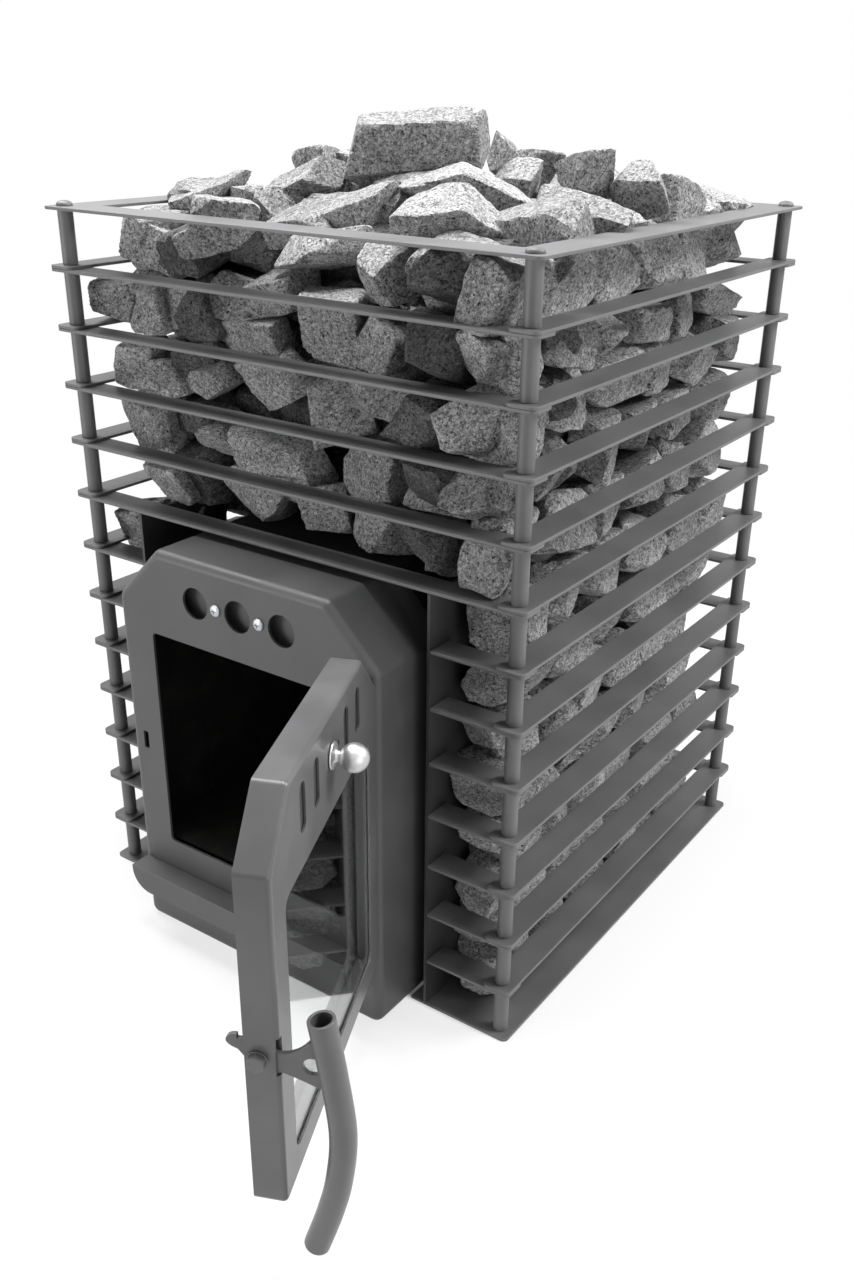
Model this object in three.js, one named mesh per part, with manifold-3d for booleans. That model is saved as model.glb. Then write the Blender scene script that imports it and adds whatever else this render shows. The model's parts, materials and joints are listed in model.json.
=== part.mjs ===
// Wood-fired sauna stove: a steel firebox with a glazed, side-hung door stands in a cage of flat bars
// threaded on four corner posts, and the cage is filled and heaped with broken granite.
// Millimetres, +Z up. Origin: centre of the base plate's underside. The door side faces -Y.
// The door is shown swung open to its stop, as it hangs while the stove is being loaded.

import * as THREE from "three";
import { ConvexGeometry } from "three/addons/geometries/ConvexGeometry.js";
import { mergeVertices, toCreasedNormals } from "three/addons/utils/BufferGeometryUtils.js";
import Module from "manifold-3d";

const wasm = await Module();
wasm.setup();

// Clearances
const SEAT_GAP = 0.3; // between pieces that rest on or pass through each other
const RUNNING_GAP = 0.5; // between pieces that move past each other
const STONE_GAP = 0.4; // between a stone and whatever it lies against

// Cage of flat bars
const POST_SPAN_X = 533; // between the post axes, left to right
const POST_SPAN_Y = 524; // between the post axes, front to back
const LEVEL_PITCH = 58; // from one ring of bars to the next
const RING_COUNT = 12;
const OPEN_RING_COUNT = 7; // the lowest rings, which leave the front open for the portal
const BAR_WIDTH = 30;
const BAR_THICKNESS = 3;
const BAR_CORNER = 5; // cut across each bar corner
const SLEEVE_DIAMETER = 15; // spacer sleeves between the rings
const TIE_ROD_DIAMETER = 8; // the rod that runs through sleeves and bars
const DOME_HEAD_DIAMETER = 16;
const DOME_HEAD_HEIGHT = 5;
const TOP_FRAME_WIDTH = 40;
const BASE_PLATE_THICKNESS = 3;
const ROUND_SIDES = 6; // facets round the tie rods and their holes
const SMALL_SIDES = 10; // facets round screws, pins, bolts and the knob

// Portal, the steel front that comes forward through the cage
const PORTAL_WIDTH = 330;
const PORTAL_HEIGHT = 450; // above the base plate
const PORTAL_CHAMFER = 57;
const PORTAL_REACH = 69; // from the front posts' axes to the portal's face
const PORTAL_DEPTH = 106;
const PORTAL_SHEET = 3;
const PORTAL_BEND = 9; // bend radius round the portal's face
const MOUTH_WIDTH = 238;
const MOUTH_BOTTOM = 112;
const PORTAL_HEAD = 90; // portal above the mouth
const MOUTH_CORNER = 5;
const AIR_HOLE_DIAMETER = 32.5;
const AIR_HOLE_PITCH = 55;
const AIR_HOLE_DROP = 43; // below the portal's top
const SCREW_HEAD_DIAMETER = 10;
const SCREW_SHANK_DIAMETER = 5;
const SCREW_HEAD_HEIGHT = 3.5;
const DEFLECTOR_WIDTH = 180;
const DEFLECTOR_HEIGHT = 60;
const DEFLECTOR_STANDOFF = 9; // behind the portal's sheet
const DEFLECTOR_SHEET = 2;
const CHEEK_GAP = 16; // from the portal's sides to the cheek plates
const CHEEK_SHEET = 3;
const CHEEK_DEPTH = 120;
const LIP_INSET = 5; // from the portal's sides to the lip's ends
const LIP_TOP = 77;
const LIP_HEIGHT = 29;
const LIP_REACH = 24;
const LIP_SHEET = 3;
const LIP_BEND = 8; // bend radius along the lip's front edge
const LIP_CORNER = 24; // radius of the lip's lower corners

// Firebox behind the portal
const FIREBOX_DEPTH = 375;
const FIREBOX_WALL = 5;
const HEARTH_SHEET = 4;
const BAFFLE_DROP = 65; // below the firebox's roof
const BAFFLE_SHEET = 5;
const BAFFLE_SMOKE_GAP = 90; // left open in front of the baffle
const LEDGE_SIZE = 10;
const FLUE_DIAMETER = 114;
const FLUE_WALL = 2;
const FLUE_SETBACK = 75; // behind the stove's centre
const FLUE_TOP = 765;
const FLUE_FLANGE_WIDTH = 14;
const FLUE_FLANGE_THICKNESS = 4;
const FLUE_SIDES = 20;

// Door
const DOOR_WIDTH = 296;
const DOOR_BOTTOM = 79.5;
const DOOR_DROP = 19; // from the portal's top down to the door's top
const DOOR_CHAMFER = 47;
const DOOR_DEPTH = 27;
const DOOR_SHEET = 2;
const DOOR_BEND = 4;
const DOOR_STANDOFF = 2; // between the closed door's rim and the portal's face
const DOOR_OPEN_ANGLE = 113.6; // degrees, at the stop
const PIN_INSET = 1; // from the door's hinge edge to the hinge axis
const PIN_DIAMETER = 8;
const PIN_HEAD_DIAMETER = 12;
const PIN_HEAD_HEIGHT = 3;
const PIN_TAIL = 2; // below its lug
const LUG_THICKNESS = 5;
const LUG_RADIUS = 7.5;
const LOWER_HINGE_RISE = 60.5; // lower lug above the door's bottom
const UPPER_HINGE_DROP = 101; // upper lug below the door's top
const STILE = 29; // face left beside the window
const WINDOW_BOTTOM = 107;
const WINDOW_HEAD = 86; // door above the window
const WINDOW_CORNER = 10;
const GLASS_THICKNESS = 4;
const GLASS_LAP = 8; // glass behind the face, round the window
const RETAINER_DEPTH = 10.4;
const RETAINER_WIDTH = 12;
const RETAINER_HEAD = 28; // height of the retainer's top bar
const GASKET_DIAMETER = 11;

// Draught slider in the door
const SLOT_WIDTH = 14;
const SLOT_HEIGHT = 42;
const SLOT_DROP = 58.5; // from the door's top down to the slots' lower ends
const DRAUGHT_OFFSET = 5.5; // the draught's middle from the door's middle, towards the hinge
const SLOT_OFFSETS = [-77, -42, 42, 77];
const SLIDER_SHEET = 2;
const SLIDER_MARGIN = 5; // slider above and below its slots
const SLIDER_LAP = 3; // slider beyond its outermost slots
const SLIDER_CORNER = 8; // cut across the slider's corners
const SLIDER_TRAVEL = 17.5; // towards the hinge, from shut to open
const RAIL_LENGTH = 176;
const RAIL_LIP = 4;
const RAIL_SHEET = 2;
const KNOB_BALL_DIAMETER = 24;
const KNOB_REACH = 18; // from the door's face to the ball's centre
const KNOB_FLANGE_DIAMETER = 23;
const KNOB_FLANGE_THICKNESS = 1.5;
const KNOB_FLARE = 3; // height over which the flange narrows to the neck
const KNOB_NECK_DIAMETER = 9;
const KNOB_STEM_DIAMETER = 6;

// Latch and handle
const LATCH_HEIGHT = 224; // pivot above the base plate
const LATCH_SETBACK = 16.5; // pivot behind the door's face
const LEVER_THICKNESS = 4;
const LATCH_BOLT_DIAMETER = 8;
const BOLT_ACROSS_FLATS = 13;
const BOLT_HEAD_HEIGHT = 5.3;
const WASHER_DIAMETER = 16;
const WASHER_THICKNESS = 1.6;
const NUT_THICKNESS = 5;
const HANDLE_DIAMETER = 21.3;
const HANDLE_WALL = 2.6;
const EYE_DIAMETER = 15; // round gap in the lever's fork, open towards the handle
const EYE_REACH = 40.5; // from the pivot out to the eye
const KEEPER_BELOW = 5; // keeper slot below and above the latch pivot's height
const KEEPER_ABOVE = 15;
const KEEPER_SIDE_GAP = 1.5;
const CATCH_RISE = 3; // how far the hook's nose stands up behind the keeper slot's edge

// Places worked out from the sizes above
const HALF_X = POST_SPAN_X / 2;
const HALF_Y = POST_SPAN_Y / 2;
const BAR_OUT = BAR_WIDTH / 2; // from a post's axis to a bar's edge
const OUTER_X = HALF_X + BAR_OUT;
const OUTER_Y = HALF_Y + BAR_OUT;
const RING_THICKNESS = 2 * BAR_THICKNESS;
const TOP_FRAME_BOTTOM = (RING_COUNT + 1) * LEVEL_PITCH - RING_THICKNESS;
const TOP_FRAME_TOP = TOP_FRAME_BOTTOM + BAR_THICKNESS;
const FACE_Y = -HALF_Y - PORTAL_REACH; // the portal's face
const PORTAL_BACK = FACE_Y + PORTAL_DEPTH;
const FIREBOX_FRONT = PORTAL_BACK + SEAT_GAP;
const FIREBOX_BACK = FIREBOX_FRONT + FIREBOX_DEPTH;
const MOUTH_TOP = PORTAL_HEIGHT - PORTAL_HEAD;
const AIR_HOLE_HEIGHT = PORTAL_HEIGHT - AIR_HOLE_DROP;
const CHEEK_OFFSET = PORTAL_WIDTH / 2 + CHEEK_GAP; // centre plane to the cheek plates' inner faces
const LIP_WIDTH = PORTAL_WIDTH - 2 * LIP_INSET;
const BAFFLE_HEIGHT = PORTAL_HEIGHT - BAFFLE_DROP;
const DOOR_TOP = PORTAL_HEIGHT - DOOR_DROP;
const LUG_HEIGHTS = { lower: DOOR_BOTTOM + LOWER_HINGE_RISE, upper: DOOR_TOP - UPPER_HINGE_DROP };
const DOOR_FACE_Y = FACE_Y - DOOR_STANDOFF - DOOR_DEPTH; // outer face of the closed door
const PIN_X = DOOR_WIDTH / 2 - PIN_INSET;
const PIN_SETBACK = DOOR_DEPTH - LUG_RADIUS + RUNNING_GAP; // pin axis behind the door's face
const PIN_Y = DOOR_FACE_Y + PIN_SETBACK;
const WINDOW_TOP = DOOR_TOP - WINDOW_HEAD;
const SLOT_BOTTOM = DOOR_TOP - SLOT_DROP;
const STONE_X = HALF_X - BAR_OUT - STONE_GAP; // room for stones inside the bars
const STONE_Y = HALF_Y - BAR_OUT - STONE_GAP;
const CROWN_BASE = TOP_FRAME_BOTTOM - LEVEL_PITCH / 2; // where the heaped stones begin

// Finishes
const FINISHES = {
  cagePaint: { color: 0x4a4a4b, roughness: 0.6, metalness: 0.3 },
  portalPaint: { color: 0x565657, roughness: 0.5, metalness: 0.3 },
  doorPaint: { color: 0x6a6a6b, roughness: 0.45, metalness: 0.3 },
  soot: { color: 0x141414, roughness: 0.9, metalness: 0.1 },
  zinc: { color: 0xb9bcc0, roughness: 0.35, metalness: 0.9 },
  aluminium: { color: 0xd6d6d6, roughness: 0.3, metalness: 0.95 },
  rope: { color: 0x3a3936, roughness: 0.95, metalness: 0 },
  glass: { color: 0xdfe6e6, roughness: 0.05, metalness: 0, transparent: true, opacity: 0.3 },
  granite: { color: 0x8f8f8e, roughness: 0.9, metalness: 0 },
};

const CREASE_ANGLE = Math.PI / 5; // edges sharper than this are drawn sharp

// Solids

// A closed three.js geometry as a solid that can be joined and cut.
function solidOf(geometry) {
  const bare = geometry.clone();
  bare.deleteAttribute("normal");
  bare.deleteAttribute("uv");
  const merged = mergeVertices(bare, 1e-4);
  const vertProperties = new Float32Array(merged.getAttribute("position").array);
  const triVerts = new Uint32Array(merged.index.array);
  return new wasm.Manifold(new wasm.Mesh({ numProp: 3, vertProperties, triVerts }));
}

function geometryOf(solid) {
  const mesh = solid.getMesh();
  const geometry = new THREE.BufferGeometry();
  geometry.setAttribute("position", new THREE.BufferAttribute(mesh.vertProperties, 3));
  geometry.setIndex(new THREE.BufferAttribute(mesh.triVerts, 1));
  return toCreasedNormals(geometry, CREASE_ANGLE);
}

function joined(solids) {
  return solids.reduce((whole, solid) => whole.add(solid));
}

function cutBy(solid, cutters) {
  return cutters.reduce((whole, cutter) => whole.subtract(cutter), solid);
}

// A box between two corners, as a solid.
function block(low, high) {
  const size = high.map((value, axis) => value - low[axis]);
  const geometry = new THREE.BoxGeometry(...size);
  geometry.translate(...high.map((value, axis) => (value + low[axis]) / 2));
  return solidOf(geometry);
}

// A flat plate lying in XY, from bottom to top.
function plate(shape, bottom, top) {
  const geometry = new THREE.ExtrudeGeometry(shape, {
    depth: top - bottom,
    bevelEnabled: false,
    curveSegments: 3,
  });
  geometry.translate(0, 0, bottom);
  return solidOf(geometry);
}

// A standing sheet: the shape's x and y become x and z, and it runs from front to back along +Y.
function sheet(shape, front, back, bevel = 0, arcSteps = 2) {
  const geometry = new THREE.ExtrudeGeometry(shape, {
    depth: back - front - 2 * bevel,
    bevelEnabled: bevel > 0,
    bevelSize: bevel,
    bevelThickness: bevel,
    bevelSegments: 2,
    curveSegments: arcSteps,
  });
  geometry.rotateX(Math.PI / 2);
  geometry.translate(0, back - bevel, 0);
  return solidOf(geometry);
}

// A plate standing in YZ: the shape's x and y become y and z, and it runs along +X.
function upright(shape, left, right) {
  const geometry = new THREE.ExtrudeGeometry(shape, {
    depth: right - left,
    bevelEnabled: false,
    curveSegments: 3,
  });
  geometry.rotateX(Math.PI / 2);
  geometry.rotateZ(Math.PI / 2);
  geometry.translate(left, 0, 0);
  return solidOf(geometry);
}

// A turned piece about the Z axis from half-profile points [radius, height].
function turned(profile, sides) {
  const points = profile.map(([radius, height]) => new THREE.Vector2(radius, height));
  const geometry = new THREE.LatheGeometry(points, sides);
  geometry.rotateX(Math.PI / 2);
  return solidOf(geometry);
}

// A round bar along an axis, for holes and shanks.
function rod(axis, centre, diameter, low, high, sides = 16) {
  const geometry = new THREE.CylinderGeometry(diameter / 2, diameter / 2, high - low, sides);
  if (axis === "x") geometry.rotateZ(Math.PI / 2);
  if (axis === "z") geometry.rotateX(Math.PI / 2);
  const middle = (low + high) / 2;
  const [first, second] = centre;
  if (axis === "x") geometry.translate(middle, first, second);
  if (axis === "y") geometry.translate(first, middle, second);
  if (axis === "z") geometry.translate(first, second, middle);
  return solidOf(geometry);
}

// Outlines

function polygon(points) {
  return new THREE.Shape(points.map(([x, y]) => new THREE.Vector2(x, y)));
}

function rectangle(left, right, bottom, top, cut = 0) {
  if (cut === 0) {
    return polygon([[left, bottom], [right, bottom], [right, top], [left, top]]);
  }
  return polygon([
    [left + cut, bottom], [right - cut, bottom], [right, bottom + cut], [right, top - cut],
    [right - cut, top], [left + cut, top], [left, top - cut], [left, bottom + cut],
  ]);
}

function roundedRectangle(left, right, bottom, top, radius) {
  const shape = new THREE.Shape();
  shape.absarc(right - radius, bottom + radius, radius, -Math.PI / 2, 0);
  shape.absarc(right - radius, top - radius, radius, 0, Math.PI / 2);
  shape.absarc(left + radius, top - radius, radius, Math.PI / 2, Math.PI);
  shape.absarc(left + radius, bottom + radius, radius, Math.PI, 1.5 * Math.PI);
  shape.closePath();
  return shape;
}

// A front with its two top corners cut at 45 degrees, drawn in by an even inset.
function chamferedFront(width, bottom, top, chamfer, inset) {
  const half = width / 2 - inset;
  const cut = chamfer - inset * (2 - Math.SQRT2);
  const low = bottom + inset;
  const high = top - inset;
  return polygon([
    [-half, low], [half, low], [half, high - cut],
    [half - cut, high], [cut - half, high], [-half, high - cut],
  ]);
}

function circleHole(x, y, diameter, sides) {
  const hole = new THREE.Path();
  for (let i = 0; i < sides; i += 1) {
    const angle = (2 * Math.PI * (i + 0.5)) / sides;
    const radius = diameter / 2 / Math.cos(Math.PI / sides);
    const point = [x + radius * Math.cos(angle), y + radius * Math.sin(angle)];
    if (i === 0) hole.moveTo(...point);
    else hole.lineTo(...point);
  }
  hole.closePath();
  return hole;
}

// Scene graph

const stove = new THREE.Group();
stove.name = "sauna_stove";
const above = new THREE.Group(); // everything measured from the base plate's top
above.position.z = BASE_PLATE_THICKNESS;
stove.add(above);

function addPiece(parent, name, solid, finish) {
  const mesh = new THREE.Mesh(geometryOf(solid), new THREE.MeshStandardMaterial(FINISHES[finish]));
  mesh.name = name;
  parent.add(mesh);
  return mesh;
}

// Cage

const ROD_HOLE = TIE_ROD_DIAMETER + 2 * SEAT_GAP;

function barShape(left, right, bottom, top, holes) {
  const shape = rectangle(left, right, bottom, top, BAR_CORNER);
  for (const [x, y] of holes) {
    shape.holes.push(circleHole(x, y, ROD_HOLE, ROUND_SIDES));
  }
  return shape;
}

// One level of the cage: side bars lie across the ends of the front and back bars, welded where they cross.
function cageRing(openFront) {
  const lower = [-RING_THICKNESS, -BAR_THICKNESS];
  const upper = [-BAR_THICKNESS, 0];
  const bars = [];
  for (const side of [-1, 1]) {
    const x = side * HALF_X;
    const corners = [[x, -HALF_Y], [x, HALF_Y]];
    bars.push(plate(barShape(x - BAR_OUT, x + BAR_OUT, -OUTER_Y, OUTER_Y, corners), ...upper));
  }
  const backCorners = [[-HALF_X, HALF_Y], [HALF_X, HALF_Y]];
  bars.push(plate(barShape(-OUTER_X, OUTER_X, HALF_Y - BAR_OUT, OUTER_Y, backCorners), ...lower));
  if (openFront) {
    const inner = CHEEK_OFFSET + CHEEK_SHEET + SEAT_GAP;
    const spans = [[-OUTER_X, -inner, -HALF_X], [inner, OUTER_X, HALF_X]];
    for (const [left, right, post] of spans) {
      const shape = barShape(left, right, -OUTER_Y, -HALF_Y + BAR_OUT, [[post, -HALF_Y]]);
      bars.push(plate(shape, ...lower));
    }
  } else {
    const corners = [[-HALF_X, -HALF_Y], [HALF_X, -HALF_Y]];
    bars.push(plate(barShape(-OUTER_X, OUTER_X, -OUTER_Y, -HALF_Y + BAR_OUT, corners), ...lower));
  }
  return joined(bars);
}

function buildCage() {
  const openRing = cageRing(true);
  const fullRing = cageRing(false);
  for (let level = 1; level <= RING_COUNT; level += 1) {
    const ring = level <= OPEN_RING_COUNT ? openRing : fullRing;
    const name = "cage_ring_" + String(level).padStart(2, "0");
    const mesh = addPiece(above, name, ring, "cagePaint");
    mesh.position.z = level * LEVEL_PITCH;
  }
}

// The frame that caps the posts, cut from one sheet.
function topFrame() {
  const shape = rectangle(-OUTER_X, OUTER_X, -OUTER_Y, OUTER_Y, BAR_CORNER);
  const openX = OUTER_X - TOP_FRAME_WIDTH;
  const openY = OUTER_Y - TOP_FRAME_WIDTH;
  shape.holes.push(rectangle(-openX, openX, -openY, openY));
  for (const x of [-HALF_X, HALF_X]) {
    for (const y of [-HALF_Y, HALF_Y]) {
      shape.holes.push(circleHole(x, y, ROD_HOLE, ROUND_SIDES));
    }
  }
  return plate(shape, TOP_FRAME_BOTTOM, TOP_FRAME_TOP);
}

// A tie rod with its domed head above the top frame and a spacer sleeve in every gap of the cage.
function cornerPost() {
  const rodRadius = TIE_ROD_DIAMETER / 2;
  const sleeveRadius = SLEEVE_DIAMETER / 2;
  const headBase = TOP_FRAME_TOP + SEAT_GAP;
  const headRadius = DOME_HEAD_DIAMETER / 2;
  const profile = [[0, -BASE_PLATE_THICKNESS], [rodRadius, -BASE_PLATE_THICKNESS]];
  for (let gap = 0; gap <= RING_COUNT; gap += 1) {
    const low = gap * LEVEL_PITCH + SEAT_GAP;
    const high = (gap + 1) * LEVEL_PITCH - RING_THICKNESS - SEAT_GAP;
    profile.push([rodRadius, low], [sleeveRadius, low], [sleeveRadius, high], [rodRadius, high]);
  }
  profile.push([rodRadius, headBase], [headRadius, headBase]);
  profile.push([headRadius * 0.8, headBase + DOME_HEAD_HEIGHT * 0.6], [0, headBase + DOME_HEAD_HEIGHT]);
  return turned(profile, ROUND_SIDES);
}

function buildPosts() {
  const post = cornerPost();
  const corners = { front_left: [-1, -1], front_right: [1, -1], back_left: [-1, 1], back_right: [1, 1] };
  for (const [corner, [sideX, sideY]] of Object.entries(corners)) {
    const mesh = addPiece(above, "corner_post_" + corner, post, "cagePaint");
    mesh.position.set(sideX * HALF_X, sideY * HALF_Y, 0);
  }
}

// The plate that everything stands on, notched at the front where the portal reaches the floor.
function basePlate() {
  const notchX = PORTAL_WIDTH / 2 + SEAT_GAP;
  const notchY = PORTAL_BACK + SEAT_GAP;
  const shape = polygon([
    [-OUTER_X + BAR_CORNER, -OUTER_Y], [-notchX, -OUTER_Y], [-notchX, notchY], [notchX, notchY],
    [notchX, -OUTER_Y], [OUTER_X - BAR_CORNER, -OUTER_Y], [OUTER_X, -OUTER_Y + BAR_CORNER],
    [OUTER_X, OUTER_Y - BAR_CORNER], [OUTER_X - BAR_CORNER, OUTER_Y], [-OUTER_X + BAR_CORNER, OUTER_Y],
    [-OUTER_X, OUTER_Y - BAR_CORNER], [-OUTER_X, -OUTER_Y + BAR_CORNER],
  ]);
  for (const x of [-HALF_X, HALF_X]) {
    for (const y of [-HALF_Y, HALF_Y]) {
      shape.holes.push(circleHole(x, y, ROD_HOLE, ROUND_SIDES));
    }
  }
  return plate(shape, -BASE_PLATE_THICKNESS, 0);
}

// Portal and firebox

const LEVER_LEFT = -DOOR_WIDTH / 2 + DOOR_SHEET + SEAT_GAP; // the latch lever's place on the closed door
const LEVER_RIGHT = LEVER_LEFT + LEVER_THICKNESS;

function portalFrame() {
  const outline = (inset) =>
    chamferedFront(PORTAL_WIDTH, -BASE_PLATE_THICKNESS, PORTAL_HEIGHT, PORTAL_CHAMFER, inset);
  const past = PORTAL_BEND + 1; // the rounded far end is trimmed off
  const outer = sheet(outline(PORTAL_BEND), FACE_Y, PORTAL_BACK + past, PORTAL_BEND);
  const innerBend = PORTAL_BEND - PORTAL_SHEET;
  const hollow = sheet(outline(PORTAL_BEND), FACE_Y + PORTAL_SHEET, PORTAL_BACK + 2 * past, innerBend);
  const trim = block(
    [-PORTAL_WIDTH, PORTAL_BACK, -PORTAL_HEIGHT],
    [PORTAL_WIDTH, PORTAL_BACK + 3 * past, 2 * PORTAL_HEIGHT],
  );
  const through = [FACE_Y - 1, FACE_Y + PORTAL_SHEET + PORTAL_BEND];
  const halfMouth = MOUTH_WIDTH / 2;
  const mouth = roundedRectangle(-halfMouth, halfMouth, MOUTH_BOTTOM, MOUTH_TOP, MOUTH_CORNER);
  const cuts = [hollow, trim, sheet(mouth, ...through)];
  for (const step of [-1, 0, 1]) {
    cuts.push(rod("y", [step * AIR_HOLE_PITCH, AIR_HOLE_HEIGHT], AIR_HOLE_DIAMETER, ...through, 20));
  }
  for (const side of [-0.5, 0.5]) {
    const hole = SCREW_SHANK_DIAMETER + 4 * SEAT_GAP;
    cuts.push(rod("y", [side * AIR_HOLE_PITCH, AIR_HOLE_HEIGHT], hole, ...through, ROUND_SIDES));
  }
  cuts.push(
    block(
      [LEVER_LEFT - KEEPER_SIDE_GAP, through[0], LATCH_HEIGHT - KEEPER_BELOW],
      [LEVER_RIGHT + KEEPER_SIDE_GAP, through[1], LATCH_HEIGHT + KEEPER_ABOVE],
    ),
  );
  return cutBy(outer, cuts);
}

// The hood behind the three air holes, open below, that turns the air down over the glass.
function airDeflector() {
  const half = DEFLECTOR_WIDTH / 2;
  const bottom = AIR_HOLE_HEIGHT - DEFLECTOR_HEIGHT * 0.55;
  const top = bottom + DEFLECTOR_HEIGHT;
  const front = FACE_Y + PORTAL_SHEET + SEAT_GAP;
  const back = FACE_Y + PORTAL_SHEET + DEFLECTOR_STANDOFF + DEFLECTOR_SHEET;
  const body = block([-half, front, bottom], [half, back, top]);
  const cuts = [
    block(
      [-half + DEFLECTOR_SHEET, front - 1, bottom - 1],
      [half - DEFLECTOR_SHEET, back - DEFLECTOR_SHEET, top - DEFLECTOR_SHEET],
    ),
  ];
  for (const side of [-0.5, 0.5]) {
    const hole = SCREW_SHANK_DIAMETER + 4 * SEAT_GAP;
    cuts.push(rod("y", [side * AIR_HOLE_PITCH, AIR_HOLE_HEIGHT], hole, front, back + 1, ROUND_SIDES));
  }
  return cutBy(body, cuts);
}

// A pan-head screw along Y, its head in front of the portal.
function deflectorScrew() {
  const head = SCREW_HEAD_DIAMETER / 2;
  const shank = SCREW_SHANK_DIAMETER / 2;
  const length = PORTAL_SHEET + DEFLECTOR_STANDOFF + DEFLECTOR_SHEET + 3;
  const profile = [
    [0, -length], [shank, -length], [shank, SEAT_GAP], [head, SEAT_GAP],
    [head, SCREW_HEAD_HEIGHT * 0.5], [head * 0.7, SCREW_HEAD_HEIGHT], [0, SCREW_HEAD_HEIGHT],
  ];
  return turned(profile, SMALL_SIDES);
}

// The ledge below the door that catches ash: a sheet bent down at the front, with round lower corners.
function ashLip() {
  const half = LIP_WIDTH / 2;
  const bottom = LIP_TOP - LIP_HEIGHT;
  const front = FACE_Y - LIP_REACH;
  const shape = new THREE.Shape();
  shape.absarc(half - LIP_CORNER, bottom + LIP_CORNER, LIP_CORNER, -Math.PI / 2, 0);
  shape.lineTo(half, LIP_TOP);
  shape.lineTo(-half, LIP_TOP);
  shape.absarc(-half + LIP_CORNER, bottom + LIP_CORNER, LIP_CORNER, Math.PI, 1.5 * Math.PI);
  const outer = sheet(shape, front, FACE_Y - SEAT_GAP);
  const hollow = block(
    [-half - 1, front + LIP_SHEET, bottom - 1],
    [half + 1, FACE_Y, LIP_TOP - LIP_SHEET],
  );
  const nose = new THREE.Shape();
  nose.absarc(front + LIP_BEND, LIP_TOP - LIP_BEND, LIP_BEND, Math.PI, Math.PI / 2, true);
  nose.lineTo(front + LIP_BEND, LIP_TOP + 1);
  nose.lineTo(front - 1, LIP_TOP + 1);
  nose.lineTo(front - 1, LIP_TOP - LIP_BEND);
  nose.closePath();
  return cutBy(outer, [hollow, upright(nose, -half - 1, half + 1)]);
}

function cheekPlate(side) {
  const inner = side * CHEEK_OFFSET;
  const outer = side * (CHEEK_OFFSET + CHEEK_SHEET);
  const top = (OPEN_RING_COUNT + 1) * LEVEL_PITCH - RING_THICKNESS - SEAT_GAP;
  return block(
    [Math.min(inner, outer), -OUTER_Y, SEAT_GAP],
    [Math.max(inner, outer), -OUTER_Y + CHEEK_DEPTH, top],
  );
}

// The firebox continues the portal's section and carries ledges for the baffle.
function fireboxShell() {
  const outline = (inset) => chamferedFront(PORTAL_WIDTH, SEAT_GAP, PORTAL_HEIGHT, PORTAL_CHAMFER, inset);
  const outer = sheet(outline(0), FIREBOX_FRONT, FIREBOX_BACK);
  const hollow = sheet(outline(FIREBOX_WALL), FIREBOX_FRONT - 1, FIREBOX_BACK - FIREBOX_WALL);
  const flue = rod("z", [0, FLUE_SETBACK], FLUE_DIAMETER - 2 * FLUE_WALL,
    PORTAL_HEIGHT - 2 * FIREBOX_WALL, PORTAL_HEIGHT + 1, FLUE_SIDES);
  const ledges = [-1, 1].map((side) => {
    const wall = side * (PORTAL_WIDTH / 2 - FIREBOX_WALL + 0.5);
    const edge = side * (PORTAL_WIDTH / 2 - FIREBOX_WALL - LEDGE_SIZE);
    const top = BAFFLE_HEIGHT - SEAT_GAP;
    return block(
      [Math.min(wall, edge), FIREBOX_FRONT + BAFFLE_SMOKE_GAP, top - LEDGE_SIZE],
      [Math.max(wall, edge), FIREBOX_BACK - FIREBOX_WALL + 0.5, top],
    );
  });
  return joined([cutBy(outer, [hollow, flue]), ...ledges]);
}

// The floor of the fire: a sheet with both sides bent down to stand on the firebox's bottom.
function hearthPlate() {
  const half = PORTAL_WIDTH / 2 - FIREBOX_WALL - RUNNING_GAP;
  const foot = SEAT_GAP + FIREBOX_WALL + SEAT_GAP;
  const inner = half - HEARTH_SHEET;
  const under = MOUTH_BOTTOM - HEARTH_SHEET;
  const shape = polygon([
    [-half, foot], [-inner, foot], [-inner, under], [inner, under], [inner, foot], [half, foot],
    [half, MOUTH_BOTTOM], [-half, MOUTH_BOTTOM],
  ]);
  return sheet(shape, FACE_Y + PORTAL_BEND + RUNNING_GAP, FIREBOX_BACK - FIREBOX_WALL - RUNNING_GAP);
}

function smokeBaffle() {
  const half = PORTAL_WIDTH / 2 - FIREBOX_WALL - RUNNING_GAP;
  return block(
    [-half, FIREBOX_FRONT + BAFFLE_SMOKE_GAP, BAFFLE_HEIGHT],
    [half, FIREBOX_BACK - FIREBOX_WALL - RUNNING_GAP, BAFFLE_HEIGHT + BAFFLE_SHEET],
  );
}

// The pipe stub that a chimney pipe slides onto, with the flange that is welded to the firebox.
function flueSpigot() {
  const outer = FLUE_DIAMETER / 2;
  const inner = outer - FLUE_WALL;
  const bottom = PORTAL_HEIGHT + SEAT_GAP;
  const flange = outer + FLUE_FLANGE_WIDTH;
  const step = bottom + FLUE_FLANGE_THICKNESS;
  const profile = [
    [inner, bottom], [flange, bottom], [flange, step], [outer, step], [outer, FLUE_TOP], [inner, FLUE_TOP],
    [inner, bottom],
  ];
  return turned(profile, FLUE_SIDES);
}

// A hinge lug on the portal, with the hole that the door's pin drops into.
function hingeLug() {
  const shape = new THREE.Shape();
  const back = FACE_Y - SEAT_GAP - PIN_Y;
  shape.moveTo(-LUG_RADIUS, back);
  shape.lineTo(-LUG_RADIUS, 0);
  shape.absarc(0, 0, LUG_RADIUS, Math.PI, 2 * Math.PI);
  shape.lineTo(LUG_RADIUS, back);
  shape.closePath();
  shape.holes.push(circleHole(0, 0, PIN_DIAMETER + 2 * RUNNING_GAP, 12));
  return plate(shape, 0, LUG_THICKNESS);
}

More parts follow.
